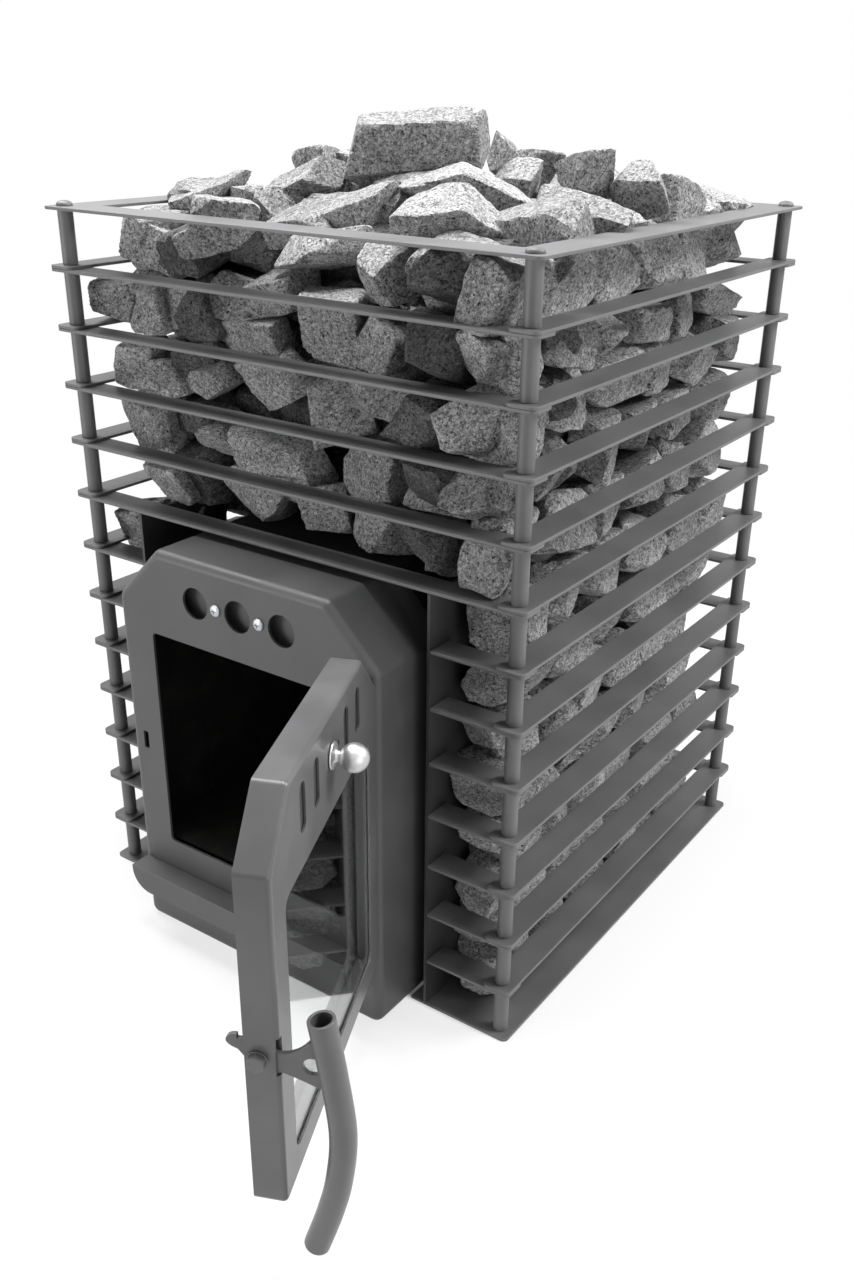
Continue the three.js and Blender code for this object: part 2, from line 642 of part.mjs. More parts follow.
function buildPortal() {
  addPiece(above, "portal_frame", portalFrame(), "portalPaint");
  addPiece(above, "air_deflector", airDeflector(), "portalPaint");
  for (const [name, side] of [["left", -0.5], ["right", 0.5]]) {
    const screw = addPiece(above, "deflector_screw_" + name, deflectorScrew(), "zinc");
    screw.position.set(side * AIR_HOLE_PITCH, FACE_Y, AIR_HOLE_HEIGHT);
    screw.rotation.x = Math.PI / 2;
  }
  addPiece(above, "ash_lip", ashLip(), "portalPaint");
  addPiece(above, "cheek_plate_left", cheekPlate(-1), "cagePaint");
  addPiece(above, "cheek_plate_right", cheekPlate(1), "cagePaint");
  for (const [name, height] of Object.entries(LUG_HEIGHTS)) {
    const lug = addPiece(above, "hinge_lug_" + name, hingeLug(), "portalPaint");
    lug.position.set(PIN_X, PIN_Y, height);
  }
}

function buildFirebox() {
  addPiece(above, "firebox_shell", fireboxShell(), "soot");
  addPiece(above, "hearth_plate", hearthPlate(), "soot");
  addPiece(above, "smoke_baffle", smokeBaffle(), "soot");
  const flue = addPiece(above, "flue_spigot", flueSpigot(), "cagePaint");
  flue.position.y = FLUE_SETBACK;
}

// Door, drawn closed and then turned about the hinge axis

const SLIDER_Z = SLOT_BOTTOM + SLOT_HEIGHT / 2;
const SLIDER_FRONT = DOOR_FACE_Y + DOOR_SHEET + SEAT_GAP;
const SLIDER_BACK = SLIDER_FRONT + SLIDER_SHEET;
const SLIDER_BOTTOM = SLOT_BOTTOM - SLIDER_MARGIN;
const SLIDER_TOP = SLOT_BOTTOM + SLOT_HEIGHT + SLIDER_MARGIN;
const GLASS_FRONT = DOOR_FACE_Y + DOOR_SHEET + SEAT_GAP;
const GLASS_BACK = GLASS_FRONT + GLASS_THICKNESS;
const RETAINER_FRONT = GLASS_BACK + SEAT_GAP;
const RETAINER_BACK = RETAINER_FRONT + RETAINER_DEPTH;
const HALF_WINDOW = DOOR_WIDTH / 2 - STILE;
const PIVOT_Y = DOOR_FACE_Y + LATCH_SETBACK;

// The row of upright, round-ended slots, cut from front to back.
function draughtSlots(middle, front, back, endSteps) {
  const radius = SLOT_WIDTH / 2;
  return SLOT_OFFSETS.map((offset) => {
    const slot = new THREE.Shape();
    slot.absarc(middle + offset, SLOT_BOTTOM + SLOT_HEIGHT - radius, radius, 0, Math.PI);
    slot.absarc(middle + offset, SLOT_BOTTOM + radius, radius, Math.PI, 2 * Math.PI);
    slot.closePath();
    return sheet(slot, front, back, 0, endSteps);
  });
}

// Guide rails bent over the slider's lower and upper edges, welded behind the door's face.
function sliderRails() {
  const left = DRAUGHT_OFFSET - RAIL_LENGTH / 2;
  const right = left + RAIL_LENGTH;
  const front = DOOR_FACE_Y + DOOR_SHEET - 0.5;
  const lipFront = SLIDER_BACK + SEAT_GAP;
  const back = lipFront + RAIL_SHEET;
  const rails = [];
  const edges = [[SLIDER_BOTTOM, -1], [SLIDER_TOP, 1]];
  for (const [edge, away] of edges) {
    const foot = edge + away * SEAT_GAP;
    const outer = foot + away * RAIL_SHEET;
    const lip = edge - away * RAIL_LIP;
    const web = [Math.min(foot, outer), Math.max(foot, outer)];
    const cover = [Math.min(lip, outer), Math.max(lip, outer)];
    rails.push(block([left, front, web[0]], [right, back, web[1]]));
    rails.push(block([left, lipFront, cover[0]], [right, back, cover[1]]));
  }
  return rails;
}

// The ear that carries a hinge pin, welded behind the face beside the hinge edge.
function hingeEar(height) {
  const bottom = height + LUG_THICKNESS + RUNNING_GAP;
  const top = bottom + LUG_THICKNESS;
  const shape = new THREE.Shape();
  const face = DOOR_FACE_Y + DOOR_SHEET - 0.5;
  shape.moveTo(PIN_X - 2 * LUG_RADIUS, face);
  shape.lineTo(PIN_X - DOOR_SHEET, face);
  shape.lineTo(PIN_X - DOOR_SHEET, PIN_Y - LUG_RADIUS * 0.8);
  shape.absarc(PIN_X, PIN_Y, LUG_RADIUS, -0.6 * Math.PI, 0.75 * Math.PI);
  shape.closePath();
  shape.holes.push(circleHole(PIN_X, PIN_Y, PIN_DIAMETER + 2 * SEAT_GAP, 12));
  return plate(shape, bottom, top);
}

function doorShell() {
  const outline = (inset) => chamferedFront(DOOR_WIDTH, DOOR_BOTTOM, DOOR_TOP, DOOR_CHAMFER, inset);
  const back = DOOR_FACE_Y + DOOR_DEPTH;
  const past = DOOR_BEND + 1; // the rounded far side is trimmed off
  const outer = sheet(outline(DOOR_BEND), DOOR_FACE_Y, back + past, DOOR_BEND);
  const hollow = sheet(outline(DOOR_SHEET), DOOR_FACE_Y + DOOR_SHEET, back + 2 * past);
  const trim = block([-DOOR_WIDTH, back, 0], [DOOR_WIDTH, back + 3 * past, 2 * DOOR_TOP]);
  const pan = cutBy(outer, [hollow, trim]);

  const through = [DOOR_FACE_Y - 1, DOOR_FACE_Y + DOOR_SHEET + 1];
  const window = roundedRectangle(-HALF_WINDOW, HALF_WINDOW, WINDOW_BOTTOM, WINDOW_TOP, WINDOW_CORNER);
  const stem = KNOB_STEM_DIAMETER / 2 + RUNNING_GAP;
  const stemLeft = DRAUGHT_OFFSET - stem;
  const stemRight = DRAUGHT_OFFSET + stem + SLIDER_TRAVEL;
  const stemSlot = roundedRectangle(stemLeft, stemRight, SLIDER_Z - stem, SLIDER_Z + stem, stem - 0.01);
  const slots = draughtSlots(DRAUGHT_OFFSET, ...through, 4);
  const faceCuts = [sheet(window, ...through), sheet(stemSlot, ...through), ...slots];

  const free = -DOOR_WIDTH / 2;
  const leverSlot = block(
    [free - 1, DOOR_FACE_Y - 1, LATCH_HEIGHT - LEVER_SLOT_BELOW],
    [LEVER_RIGHT + RUNNING_GAP, DOOR_FACE_Y + DOOR_SHEET + 1, LATCH_HEIGHT + LEVER_SLOT_ABOVE],
  );
  const boltHole = rod("x", [PIVOT_Y, LATCH_HEIGHT], LATCH_BOLT_DIAMETER + 2 * SEAT_GAP,
    free - 1, free + DOOR_SHEET + 1, 12);

  const notches = Object.values(LUG_HEIGHTS).map((height) =>
    block(
      [PIN_X - DOOR_SHEET - RUNNING_GAP, DOOR_FACE_Y + DOOR_BEND, height - PIN_TAIL - RUNNING_GAP],
      [DOOR_WIDTH, back + 1, height + 2 * LUG_THICKNESS + PIN_HEAD_HEIGHT + 4 * RUNNING_GAP],
    ),
  );
  const ears = Object.values(LUG_HEIGHTS).map(hingeEar);
  const bare = cutBy(pan, [...faceCuts, leverSlot, boltHole, ...notches]);
  return joined([bare, ...sliderRails(), ...ears]);
}

function windowGlass() {
  const half = HALF_WINDOW + GLASS_LAP;
  const shape = rectangle(-half, half, WINDOW_BOTTOM - GLASS_LAP, WINDOW_TOP + GLASS_LAP);
  return sheet(shape, GLASS_FRONT, GLASS_BACK);
}

const RETAINER_HALF = HALF_WINDOW + RETAINER_WIDTH;
const RETAINER_BOTTOM = WINDOW_BOTTOM - RETAINER_WIDTH;
const RETAINER_TOP = WINDOW_TOP + RETAINER_HEAD;

// The frame that holds the glass against the face and seats the rope.
function glassRetainer() {
  const shape = rectangle(-RETAINER_HALF, RETAINER_HALF, RETAINER_BOTTOM, RETAINER_TOP, 2);
  shape.holes.push(rectangle(-HALF_WINDOW, HALF_WINDOW, WINDOW_BOTTOM, WINDOW_TOP));
  return sheet(shape, RETAINER_FRONT, RETAINER_BACK);
}

// Rope seal in a loop round the retainer, rounded to a rope's section.
function doorGasket() {
  const round = GASKET_DIAMETER * 0.3;
  const front = RETAINER_BACK + SEAT_GAP;
  const loop = (inset) =>
    roundedRectangle(
      -RETAINER_HALF + inset, RETAINER_HALF - inset, RETAINER_BOTTOM + inset, RETAINER_TOP - inset, round);
  const shape = loop(SEAT_GAP + round);
  shape.holes.push(loop(GASKET_DIAMETER - round));
  return sheet(shape, front, front + GASKET_DIAMETER, round, 1);
}

function hingePin() {
  const shank = PIN_DIAMETER / 2;
  const head = PIN_HEAD_DIAMETER / 2;
  const earTop = 2 * LUG_THICKNESS + RUNNING_GAP + SEAT_GAP;
  const top = earTop + PIN_HEAD_HEIGHT;
  const profile = [
    [0, -PIN_TAIL], [shank * 0.7, -PIN_TAIL], [shank, 0], [shank, earTop], [head, earTop],
    [head, top - 1], [head - 1, top], [0, top],
  ];
  return turned(profile, SMALL_SIDES);
}

// The bolt that the latch turns on, with its washer and nut, through the rim's free side.
function latchBolt() {
  const free = -DOOR_WIDTH / 2 - SEAT_GAP;
  const centre = [PIVOT_Y, LATCH_HEIGHT];
  const corners = BOLT_ACROSS_FLATS / Math.cos(Math.PI / 6);
  const washer = free - WASHER_THICKNESS;
  const nut = LEVER_RIGHT + SEAT_GAP;
  return joined([
    rod("x", centre, LATCH_BOLT_DIAMETER, washer, nut + NUT_THICKNESS + 1, SMALL_SIDES),
    rod("x", centre, WASHER_DIAMETER, washer, free, 2 * SMALL_SIDES),
    rod("x", centre, corners, washer - BOLT_HEAD_HEIGHT, washer, 6),
    rod("x", centre, corners, nut, nut + NUT_THICKNESS, 6),
  ]);
}

// The plate behind the slots, shown shut. Pushed towards the hinge, its own slots come behind the door's.
function draughtSlider() {
  const shut = DRAUGHT_OFFSET - SLIDER_TRAVEL;
  const past = SLOT_WIDTH / 2 + SLIDER_LAP;
  const left = shut + SLOT_OFFSETS.at(0) - past;
  const right = DRAUGHT_OFFSET + SLOT_OFFSETS.at(-1) + past;
  const shape = rectangle(left, right, SLIDER_BOTTOM, SLIDER_TOP, SLIDER_CORNER);
  const body = sheet(shape, SLIDER_FRONT, SLIDER_BACK);
  const through = [SLIDER_FRONT - 1, SLIDER_BACK + 1];
  const stemHole = rod("y", [DRAUGHT_OFFSET, SLIDER_Z], KNOB_STEM_DIAMETER + 2 * SEAT_GAP, ...through, 12);
  return cutBy(body, [...draughtSlots(shut, ...through, 2), stemHole]);
}

// Ball knob on a flared flange, its stem reaching into the slider. Turned about Z, +Z outwards.
function draughtKnob() {
  const stem = KNOB_STEM_DIAMETER / 2;
  const flange = KNOB_FLANGE_DIAMETER / 2;
  const neck = KNOB_NECK_DIAMETER / 2;
  const ball = KNOB_BALL_DIAMETER / 2;
  const inside = -(SLIDER_BACK - DOOR_FACE_Y) - 1;
  const seat = RUNNING_GAP;
  const rim = seat + KNOB_FLANGE_THICKNESS;
  const profile = [
    [0, inside], [stem, inside], [stem, seat], [flange, seat], [flange, rim],
    [neck + (flange - neck) * 0.3, rim + KNOB_FLARE * 0.3], [neck, rim + KNOB_FLARE],
  ];
  const start = Math.asin(neck / ball);
  const steps = 6;
  for (let i = 0; i < steps; i += 1) {
    const angle = start + ((Math.PI - start) * i) / steps;
    profile.push([ball * Math.sin(angle), KNOB_REACH - ball * Math.cos(angle)]);
  }
  profile.push([0, KNOB_REACH + ball]);
  return turned(profile, SMALL_SIDES);
}

// Latch. Its outlines are drawn round the pivot: first the way out of the door, then up.

const LEVER_SLOT_BELOW = 14;
const LEVER_SLOT_ABOVE = 20;
const NOSE_TOP = KEEPER_ABOVE + CATCH_RISE;
const KEEPER_NEAR = DOOR_DEPTH + DOOR_STANDOFF - LATCH_SETBACK; // pivot to the portal's face, closed
const KEEPER_FAR = KEEPER_NEAR + PORTAL_SHEET;
const HANDLE_POINTS = [[47.5, 42], [55.5, -9], [61.5, -65], [57.5, -112], [49.5, -148], [38, -186]];

function handlePath() {
  return new THREE.CatmullRomCurve3(HANDLE_POINTS.map(([out, up]) => new THREE.Vector3(0, -out, up)));
}

function tubeAlong(path, outerDiameter, wall, steps) {
  const section = new THREE.Shape().absarc(0, 0, outerDiameter / 2, 0, 2 * Math.PI);
  if (wall > 0) {
    section.holes.push(new THREE.Path().absarc(0, 0, outerDiameter / 2 - wall, 0, 2 * Math.PI, true));
  }
  const geometry = new THREE.ExtrudeGeometry(section, { extrudePath: path, steps, curveSegments: 5 });
  return solidOf(geometry);
}

// Hook, pivot eye and forked arm of the latch, cut from one plate that lies in the door's rim.
function latchLever() {
  const nose = KEEPER_FAR + RUNNING_GAP;
  const neckTop = KEEPER_ABOVE - RUNNING_GAP;
  const tip = nose + 9;
  const shape = new THREE.Shape();
  shape.moveTo(18, -12);
  shape.lineTo(46, -22);
  shape.lineTo(52, -22);
  shape.lineTo(50, 20);
  shape.lineTo(36, 18);
  shape.quadraticCurveTo(28, 7, 16, 6);
  shape.lineTo(2, 9);
  shape.lineTo(-KEEPER_NEAR + 3, neckTop);
  shape.lineTo(-nose, neckTop);
  shape.lineTo(-nose, NOSE_TOP);
  shape.quadraticCurveTo(-tip + 1, NOSE_TOP, -tip, NOSE_TOP - 6);
  shape.quadraticCurveTo(-tip, neckTop - 7, -nose, neckTop - 10);
  shape.lineTo(-6, -8);
  shape.quadraticCurveTo(4, -13, 18, -12);
  shape.holes.push(circleHole(0, 0, LATCH_BOLT_DIAMETER + 2 * SEAT_GAP, 12));
  const body = mirrorOut(upright(shape, 0, LEVER_THICKNESS));
  const eye = rod("x", [-EYE_REACH, -2], EYE_DIAMETER, -1, LEVER_THICKNESS + 1, 14);
  const weldGap = handleSolid(HANDLE_DIAMETER + 2 * SEAT_GAP, 0);
  return largest(cutBy(body, [eye, weldGap]));
}

// Turns an outline drawn outwards along +Y round to face -Y, the way out of the door.
function mirrorOut(solid) {
  return solid.mirror([0, 1, 0]);
}

function handleSolid(diameter, wall) {
  const tube = tubeAlong(handlePath(), diameter, wall, 10);
  return tube.translate([LEVER_THICKNESS / 2, 0, 0]);
}

function largest(solid) {
  const bodies = solid.decompose();
  return bodies.reduce((best, body) => (body.volume() > best.volume() ? body : best));
}

function buildDoor() {
  const hinge = new THREE.Group(); // turns about the hinge axis
  hinge.position.set(PIN_X, PIN_Y, 0);
  hinge.rotation.z = THREE.MathUtils.degToRad(DOOR_OPEN_ANGLE);
  above.add(hinge);
  const door = new THREE.Group(); // closed-door coordinates inside the turning group
  door.position.set(-PIN_X, -PIN_Y, 0);
  hinge.add(door);

  addPiece(door, "door_shell", doorShell(), "doorPaint");
  addPiece(door, "window_glass", windowGlass(), "glass");
  addPiece(door, "glass_retainer", glassRetainer(), "doorPaint");
  addPiece(door, "door_gasket", doorGasket(), "rope");
  addPiece(door, "latch_pivot_bolt", latchBolt(), "doorPaint");
  for (const [name, height] of Object.entries(LUG_HEIGHTS)) {
    const pin = addPiece(door, "hinge_pin_" + name, hingePin(), "zinc");
    pin.position.set(PIN_X, PIN_Y, height);
  }
  addPiece(door, "draught_slider", draughtSlider(), "doorPaint");
  const knob = addPiece(door, "draught_knob", draughtKnob(), "aluminium");
  knob.position.set(DRAUGHT_OFFSET, DOOR_FACE_Y, SLIDER_Z);
  knob.rotation.x = Math.PI / 2;

  const latch = new THREE.Group();
  latch.position.set(LEVER_LEFT, PIVOT_Y, LATCH_HEIGHT);
  door.add(latch);
  addPiece(latch, "latch_lever", latchLever(), "doorPaint");
  addPiece(latch, "handle_tube", handleSolid(HANDLE_DIAMETER, HANDLE_WALL), "doorPaint");
}

// Stones

// The same number between 0 and 1 every time for the same stone and corner.
function scatter(stone, corner) {
  const value = Math.sin(stone * 12.9898 + corner * 78.233) * 43758.5453;
  return value - Math.floor(value);
}

// A broken stone: eight corners of a block, each drawn in by a different amount, tilted a little and then
// stretched to the stone's width, depth and height.
function stoneGeometry([x, y, z], [width, depth, height], seed) {
  const tilt = (turn) => 0.9 * (scatter(seed, 40 + turn) - 0.5);
  const turned = new THREE.Euler(tilt(0), tilt(1), 2 * tilt(2));
  const corners = [];
  const bounds = new THREE.Box3();
  for (let i = 0; i < 8; i += 1) {
    const signs = [i & 1, i & 2, i & 4].map((bit) => (bit ? 1 : -1));
    const [a, b, c] = signs.map((sign, axis) => sign * (0.55 + 0.45 * scatter(seed, 3 * i + axis)));
    const corner = new THREE.Vector3(a, b, c).applyEuler(turned);
    bounds.expandByPoint(corner);
    corners.push(corner);
  }
  const middle = bounds.getCenter(new THREE.Vector3());
  const stretch = new THREE.Vector3(width, depth, height).divide(bounds.getSize(new THREE.Vector3()));
  for (const corner of corners) {
    corner.sub(middle).multiply(stretch);
  }
  const geometry = new ConvexGeometry(corners);
  geometry.translate(x, y, z);
  return geometry;
}

// A stone and the slightly larger hollow that it needs in its neighbours.
function stone(place, size, seed) {
  const grow = 1 + (3 * STONE_GAP) / Math.min(...size);
  return {
    body: solidOf(stoneGeometry(place, size, seed)),
    hollow: solidOf(stoneGeometry(place, size.map((length) => length * grow), seed)),
  };
}

// The packed stones behind the ones that show.
function filling(low, high) {
  const wide = (corner, sign) => corner.map((value) => value + sign * STONE_GAP);
  return { body: block(low, high), hollow: block(wide(low, -1), wide(high, 1)) };
}

function bed(pieces) {
  return {
    body: joined(pieces.map((piece) => piece.body)),
    hollow: joined(pieces.map((piece) => piece.hollow)),
  };
}

// Stones in the front of the upper cage: [x, level, width, height].
const FRONT_STONES = [
  [-197, 12.35, 74, 52], [-142, 12.5, 52, 42], [0, 12.5, 97, 38], [76, 12.3, 54, 54], [127, 12.55, 56, 36],
  [153, 12.15, 88, 54], [222, 12.3, 58, 62],
  [-224, 11.35, 50, 52], [-180, 11.4, 74, 60], [-118, 11.6, 74, 44], [-110, 10.9, 172, 58],
  [18, 11.45, 92, 74], [-52, 11.8, 62, 42], [83, 11.3, 52, 54], [153, 11.35, 92, 64], [219, 11.4, 64, 64],
  [-219, 10.35, 52, 58], [-178, 10.2, 44, 48], [-135, 10.25, 74, 50], [-47, 10.4, 82, 66],
  [10, 10.05, 78, 92], [117, 10.3, 132, 54], [216, 10.4, 68, 70],
  [-206, 9.3, 74, 60], [-126, 9.25, 56, 50], [-46, 9.05, 116, 64], [73, 9.05, 86, 68], [178, 9.3, 142, 44],
  [-195, 8.35, 90, 46], [-72, 8.35, 114, 56], [14, 8.35, 64, 46], [86, 8.35, 88, 50], [160, 8.35, 78, 46],
  [216, 8.45, 66, 56],
];

// Stones beside the portal, between a cheek plate and its post: [side, level, width, height].
const STRIP_STONES = [
  [1, 7.3, 62, 66], [1, 6.35, 60, 58], [1, 5.3, 54, 50], [1, 4.3, 58, 48],
  [1, 3.35, 60, 58], [1, 2.3, 60, 54],
  [1, 1.3, 60, 50], [1, 0.5, 60, 44], [-1, 7.25, 54, 56],
];

// Loose stones on the heap: name, place from the top frame's top, and size.
const HEAP_STONES = [
  ["cap", [10, -58, 64], [142, 88, 66]],
  ["front_left", [-108, -202, -10], [78, 58, 74]],
  ["left", [-182, -150, 14], [88, 70, 46]],
  ["back_left", [-92, -108, 24], [104, 74, 50]],
  ["middle", [12, -152, 8], [74, 66, 56]],
  ["long", [84, -92, 20], [130, 66, 56]],
  ["front", [126, -168, 12], [108, 62, 48]],
  ["front_right", [172, -206, -14], [102, 52, 30]],
  ["right", [214, -110, 16], [100, 72, 54]],
  ["back", [88, 44, 36], [60, 58, 58]],
  ["back_right", [162, 0, 38], [60, 64, 66]],
  ["far_right", [218, 14, 26], [60, 62, 64]],
];

// Smaller stones wedged between them, fixed in the crown of the bed.
const CROWN_STONES = [
  [[-128, -40, 36], [58, 56, 40]], [[100, -26, 26], [56, 52, 50]], [[60, -4, 50], [36, 40, 44]],
  [[214, 88, 14], [50, 62, 46]], [[-62, -24, 24], [84, 76, 60]], [[130, 96, 14], [76, 72, 52]],
  [[216, -56, -8], [50, 44, 48]], [[10, -60, 14], [104, 74, 64]],
];

// Rows of stones against one face of the cage, staggered from row to row.
function wallStones(face, from, to, bottom, top, firstSeed) {
  const rowCount = Math.round((top - bottom) / WALL_STONE_HEIGHT);
  const rowHeight = (top - bottom) / rowCount;
  const perRow = Math.round((to - from) / WALL_STONE_WIDTH);
  const spacing = (to - from) / (perRow + 0.3);
  const stones = [];
  for (let row = 0; row < rowCount; row += 1) {
    const start = from + (row % 2 === 0 ? 0 : 0.3 * spacing);
    for (let column = 0; column < perRow; column += 1) {
      const seed = firstSeed + row * perRow + column;
      const width = spacing * (0.86 + 0.13 * scatter(seed, 32));
      const height = rowHeight * (0.86 + 0.13 * scatter(seed, 33));
      const depth = WALL_STONE_DEPTH + WALL_STONE_SPREAD * scatter(seed, 34);
      const along = start + spacing * (column + 0.5);
      stones.push(face(along, bottom + rowHeight * (row + 0.5), width, height, depth, seed));
    }
  }
  return stones;
}

const onSide = (side) => (along, up, width, height, depth, seed) =>
  stone([side * (STONE_X - depth / 2), along, up], [depth, width, height], seed);
const onBack = (along, up, width, height, depth, seed) =>
  stone([along, STONE_Y - depth / 2, up], [width, depth, height], seed);

const BED_BOTTOM = STONE_GAP;
const BED_SPLIT = (OPEN_RING_COUNT + 1) * LEVEL_PITCH - RING_THICKNESS; // the bed closes over the firebox
const FILL_DEPTH = 30; // the filling stays this far behind the bars
const FRONT_BED_DEPTH = 90; // the bed of the hand-laid front stones
const BED_BEHIND = -STONE_Y + FRONT_BED_DEPTH;
const FRONT_STONE_DEPTH = 62;
const FRONT_STONE_SPREAD = 16; // deepest front stone over the shallowest
const STRIP_STONE_DEPTH = 66; // stones beside the portal
const WALL_STONE_DEPTH = 58;
const WALL_STONE_SPREAD = 14;
const FILL_DROP = 12; // filling below the top frame
const HEAP_SEED = 700;
const WALL_STONE_WIDTH = 132;
const WALL_STONE_HEIGHT = 112;
const CROWN_STONE_SIZE = 132;

function frontBed() {
  const pieces = FRONT_STONES.map(([x, level, width, height], i) => {
    const depth = FRONT_STONE_DEPTH + FRONT_STONE_SPREAD * scatter(100 + i, 34);
    return stone([x, -STONE_Y + depth / 2, level * LEVEL_PITCH], [width, depth, height], 100 + i);
  });
  const side = STONE_X - FILL_DEPTH;
  const low = [-side, -STONE_Y + FILL_DEPTH, BED_SPLIT];
  const high = [side, BED_BEHIND, TOP_FRAME_BOTTOM - FILL_DROP];
  pieces.push(filling(low, high));
  return bed(pieces);
}

function sideBed(side) {
  const inner = CHEEK_OFFSET + CHEEK_SHEET + STONE_GAP;
  const front = -STONE_Y + FILL_DEPTH;
  const strip = STRIP_STONES.filter((row) => row[0] === side).map(([, level, width, height], i) => {
    const x = side * (inner + width / 2 + 1);
    const y = -STONE_Y + STRIP_STONE_DEPTH / 2;
    return stone([x, y, level * LEVEL_PITCH], [width, STRIP_STONE_DEPTH, height], 200 + 50 * side + i);
  });
  const first = side > 0 ? -STONE_Y + 40 : -STONE_Y + 30;
  const wall = wallStones(onSide(side), first, STONE_Y, BED_BOTTOM, BED_SPLIT - STONE_GAP, 400 + 50 * side);
  const outer = STONE_X - FILL_DEPTH;
  const low = [side > 0 ? inner : -outer, front, BED_BOTTOM];
  const high = [side > 0 ? outer : -inner, STONE_Y - FILL_DEPTH, BED_SPLIT - STONE_GAP];
  return bed([...strip, ...wall, filling(low, high)]);
}

function backBed() {
  const side = CHEEK_OFFSET;
  const stones = wallStones(onBack, -side, side, BED_BOTTOM, BED_SPLIT - STONE_GAP, 500);
  const low = [-side, FIREBOX_BACK + STONE_GAP, BED_BOTTOM];
  const high = [side, STONE_Y - FILL_DEPTH, BED_SPLIT - STONE_GAP];
  return bed([...stones, filling(low, high)]);
}

function upperBed() {
  const top = CROWN_BASE;
  const bottom = BED_SPLIT + STONE_GAP;
  const front = BED_BEHIND + STONE_GAP;
  const stones = [
    ...wallStones(onSide(1), front - 60, STONE_Y, bottom, top, 550),
    ...wallStones(onSide(-1), front - 60, STONE_Y, bottom, top, 580),
    ...wallStones(onBack, -STONE_X + 40, STONE_X - 40, bottom, top, 610),
  ];
  const side = STONE_X - FILL_DEPTH;
  return bed([...stones, filling([-side, front, bottom], [side, STONE_Y - FILL_DEPTH, top])]);
}

// The layer under the heap: stones side by side over the whole top, up to the chimney pipe.
function crownLayer() {
  const right = OUTER_X - TOP_FRAME_WIDTH - 2;
  const back = OUTER_Y - TOP_FRAME_WIDTH - 2;
  const columns = Math.round((2 * right) / CROWN_STONE_SIZE);
  const rows = Math.round((back - BED_BEHIND) / CROWN_STONE_SIZE);
  const stepX = (2 * right) / columns;
  const stepY = (back - BED_BEHIND) / rows;
  const stones = [];
  for (let row = 0; row < rows; row += 1) {
    for (let column = 0; column < columns; column += 1) {
      const seed = 660 + row * columns + column;
      const x = -right + stepX * (column + 0.5);
      const y = BED_BEHIND + stepY * (row + 0.5);
      const rise = 12 * scatter(seed, 31) - 14;
      const size = [stepX - 1, stepY - 1, 50 + 16 * scatter(seed, 32)];
      if (Math.hypot(x, y - FLUE_SETBACK) > FLUE_DIAMETER * 0.6) {
        stones.push(stone([x, y, TOP_FRAME_TOP + rise], size, seed));
      }
    }
  }
  return stones;
}

function crownBed() {
  const wedged = CROWN_STONES.map(([[x, y, z], size], i) => stone([x, y, TOP_FRAME_TOP + z], size, 640 + i));
  const side = OUTER_X - TOP_FRAME_WIDTH - 10;
  const back = OUTER_Y - TOP_FRAME_WIDTH - 10;
  const low = [-side, BED_BEHIND + STONE_GAP, CROWN_BASE + STONE_GAP];
  return bed([filling(low, [side, back, TOP_FRAME_BOTTOM - 10]), ...crownLayer(), ...wedged]);
}

function buildStones() {
  const flueRoom = rod("z", [0, FLUE_SETBACK], FLUE_DIAMETER + 2 * FLUE_FLANGE_WIDTH + 2 * STONE_GAP,
    BED_BOTTOM, BED_SPLIT + LEVEL_PITCH, FLUE_SIDES);
  const pipeRoom = rod("z", [0, FLUE_SETBACK], FLUE_DIAMETER + 4 * STONE_GAP,
    BED_BOTTOM, 2 * TOP_FRAME_TOP, FLUE_SIDES);
  const openX = OUTER_X - TOP_FRAME_WIDTH - STONE_GAP;
  const openY = OUTER_Y - TOP_FRAME_WIDTH - STONE_GAP;
  const far = 2 * TOP_FRAME_TOP;
  const cageRoom = joined([
    block([-STONE_X, -STONE_Y, BED_BOTTOM], [STONE_X, STONE_Y, TOP_FRAME_BOTTOM - STONE_GAP]),
    block([-openX, -openY, BED_BOTTOM], [openX, openY, far]),
  ]);
  const fireboxRoom = block(
    [-CHEEK_OFFSET, -OUTER_Y, 0],
    [CHEEK_OFFSET, FIREBOX_BACK + STONE_GAP, PORTAL_HEIGHT + STONE_GAP],
  );
  const cheekRoom = [-1, 1].map((side) => {
    const inner = side * (CHEEK_OFFSET - STONE_GAP);
    const outer = side * (CHEEK_OFFSET + CHEEK_SHEET + STONE_GAP);
    return block(
      [Math.min(inner, outer), -OUTER_Y, 0],
      [Math.max(inner, outer), -OUTER_Y + CHEEK_DEPTH + STONE_GAP, BED_SPLIT],
    );
  });
  const keepOut = [fireboxRoom, ...cheekRoom, flueRoom, pipeRoom];

  const settled = [];
  const settle = (name, { body, hollow }) => {
    const kept = cutBy(body.intersect(cageRoom), [...keepOut, ...settled]);
    addPiece(above, name, largest(kept), "granite");
    settled.push(hollow);
  };
  HEAP_STONES.forEach(([name, [x, y, z], size], i) => {
    settle("heap_stone_" + name, stone([x, y, TOP_FRAME_TOP + z], size, HEAP_SEED + i));
  });
  settle("stone_bed_front", frontBed());
  settle("stone_bed_right", sideBed(1));
  settle("stone_bed_left", sideBed(-1));
  settle("stone_bed_back", backBed());
  settle("stone_bed_upper", upperBed());
  settle("stone_bed_crown", crownBed());
}

addPiece(above, "base_plate", basePlate(), "cagePaint");
buildCage();
buildPosts();
addPiece(above, "top_frame", topFrame(), "cagePaint");
buildPortal();
buildFirebox();
buildDoor();
buildStones();

export default stove;
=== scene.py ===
"""Looks of a wood-fired sauna stove: folded sheet steel, a cage of flat bars and broken granite.

Metres, +Z up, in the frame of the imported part. The door side faces -Y and the door stands open.
"""

import json
import math
import random
from typing import NamedTuple

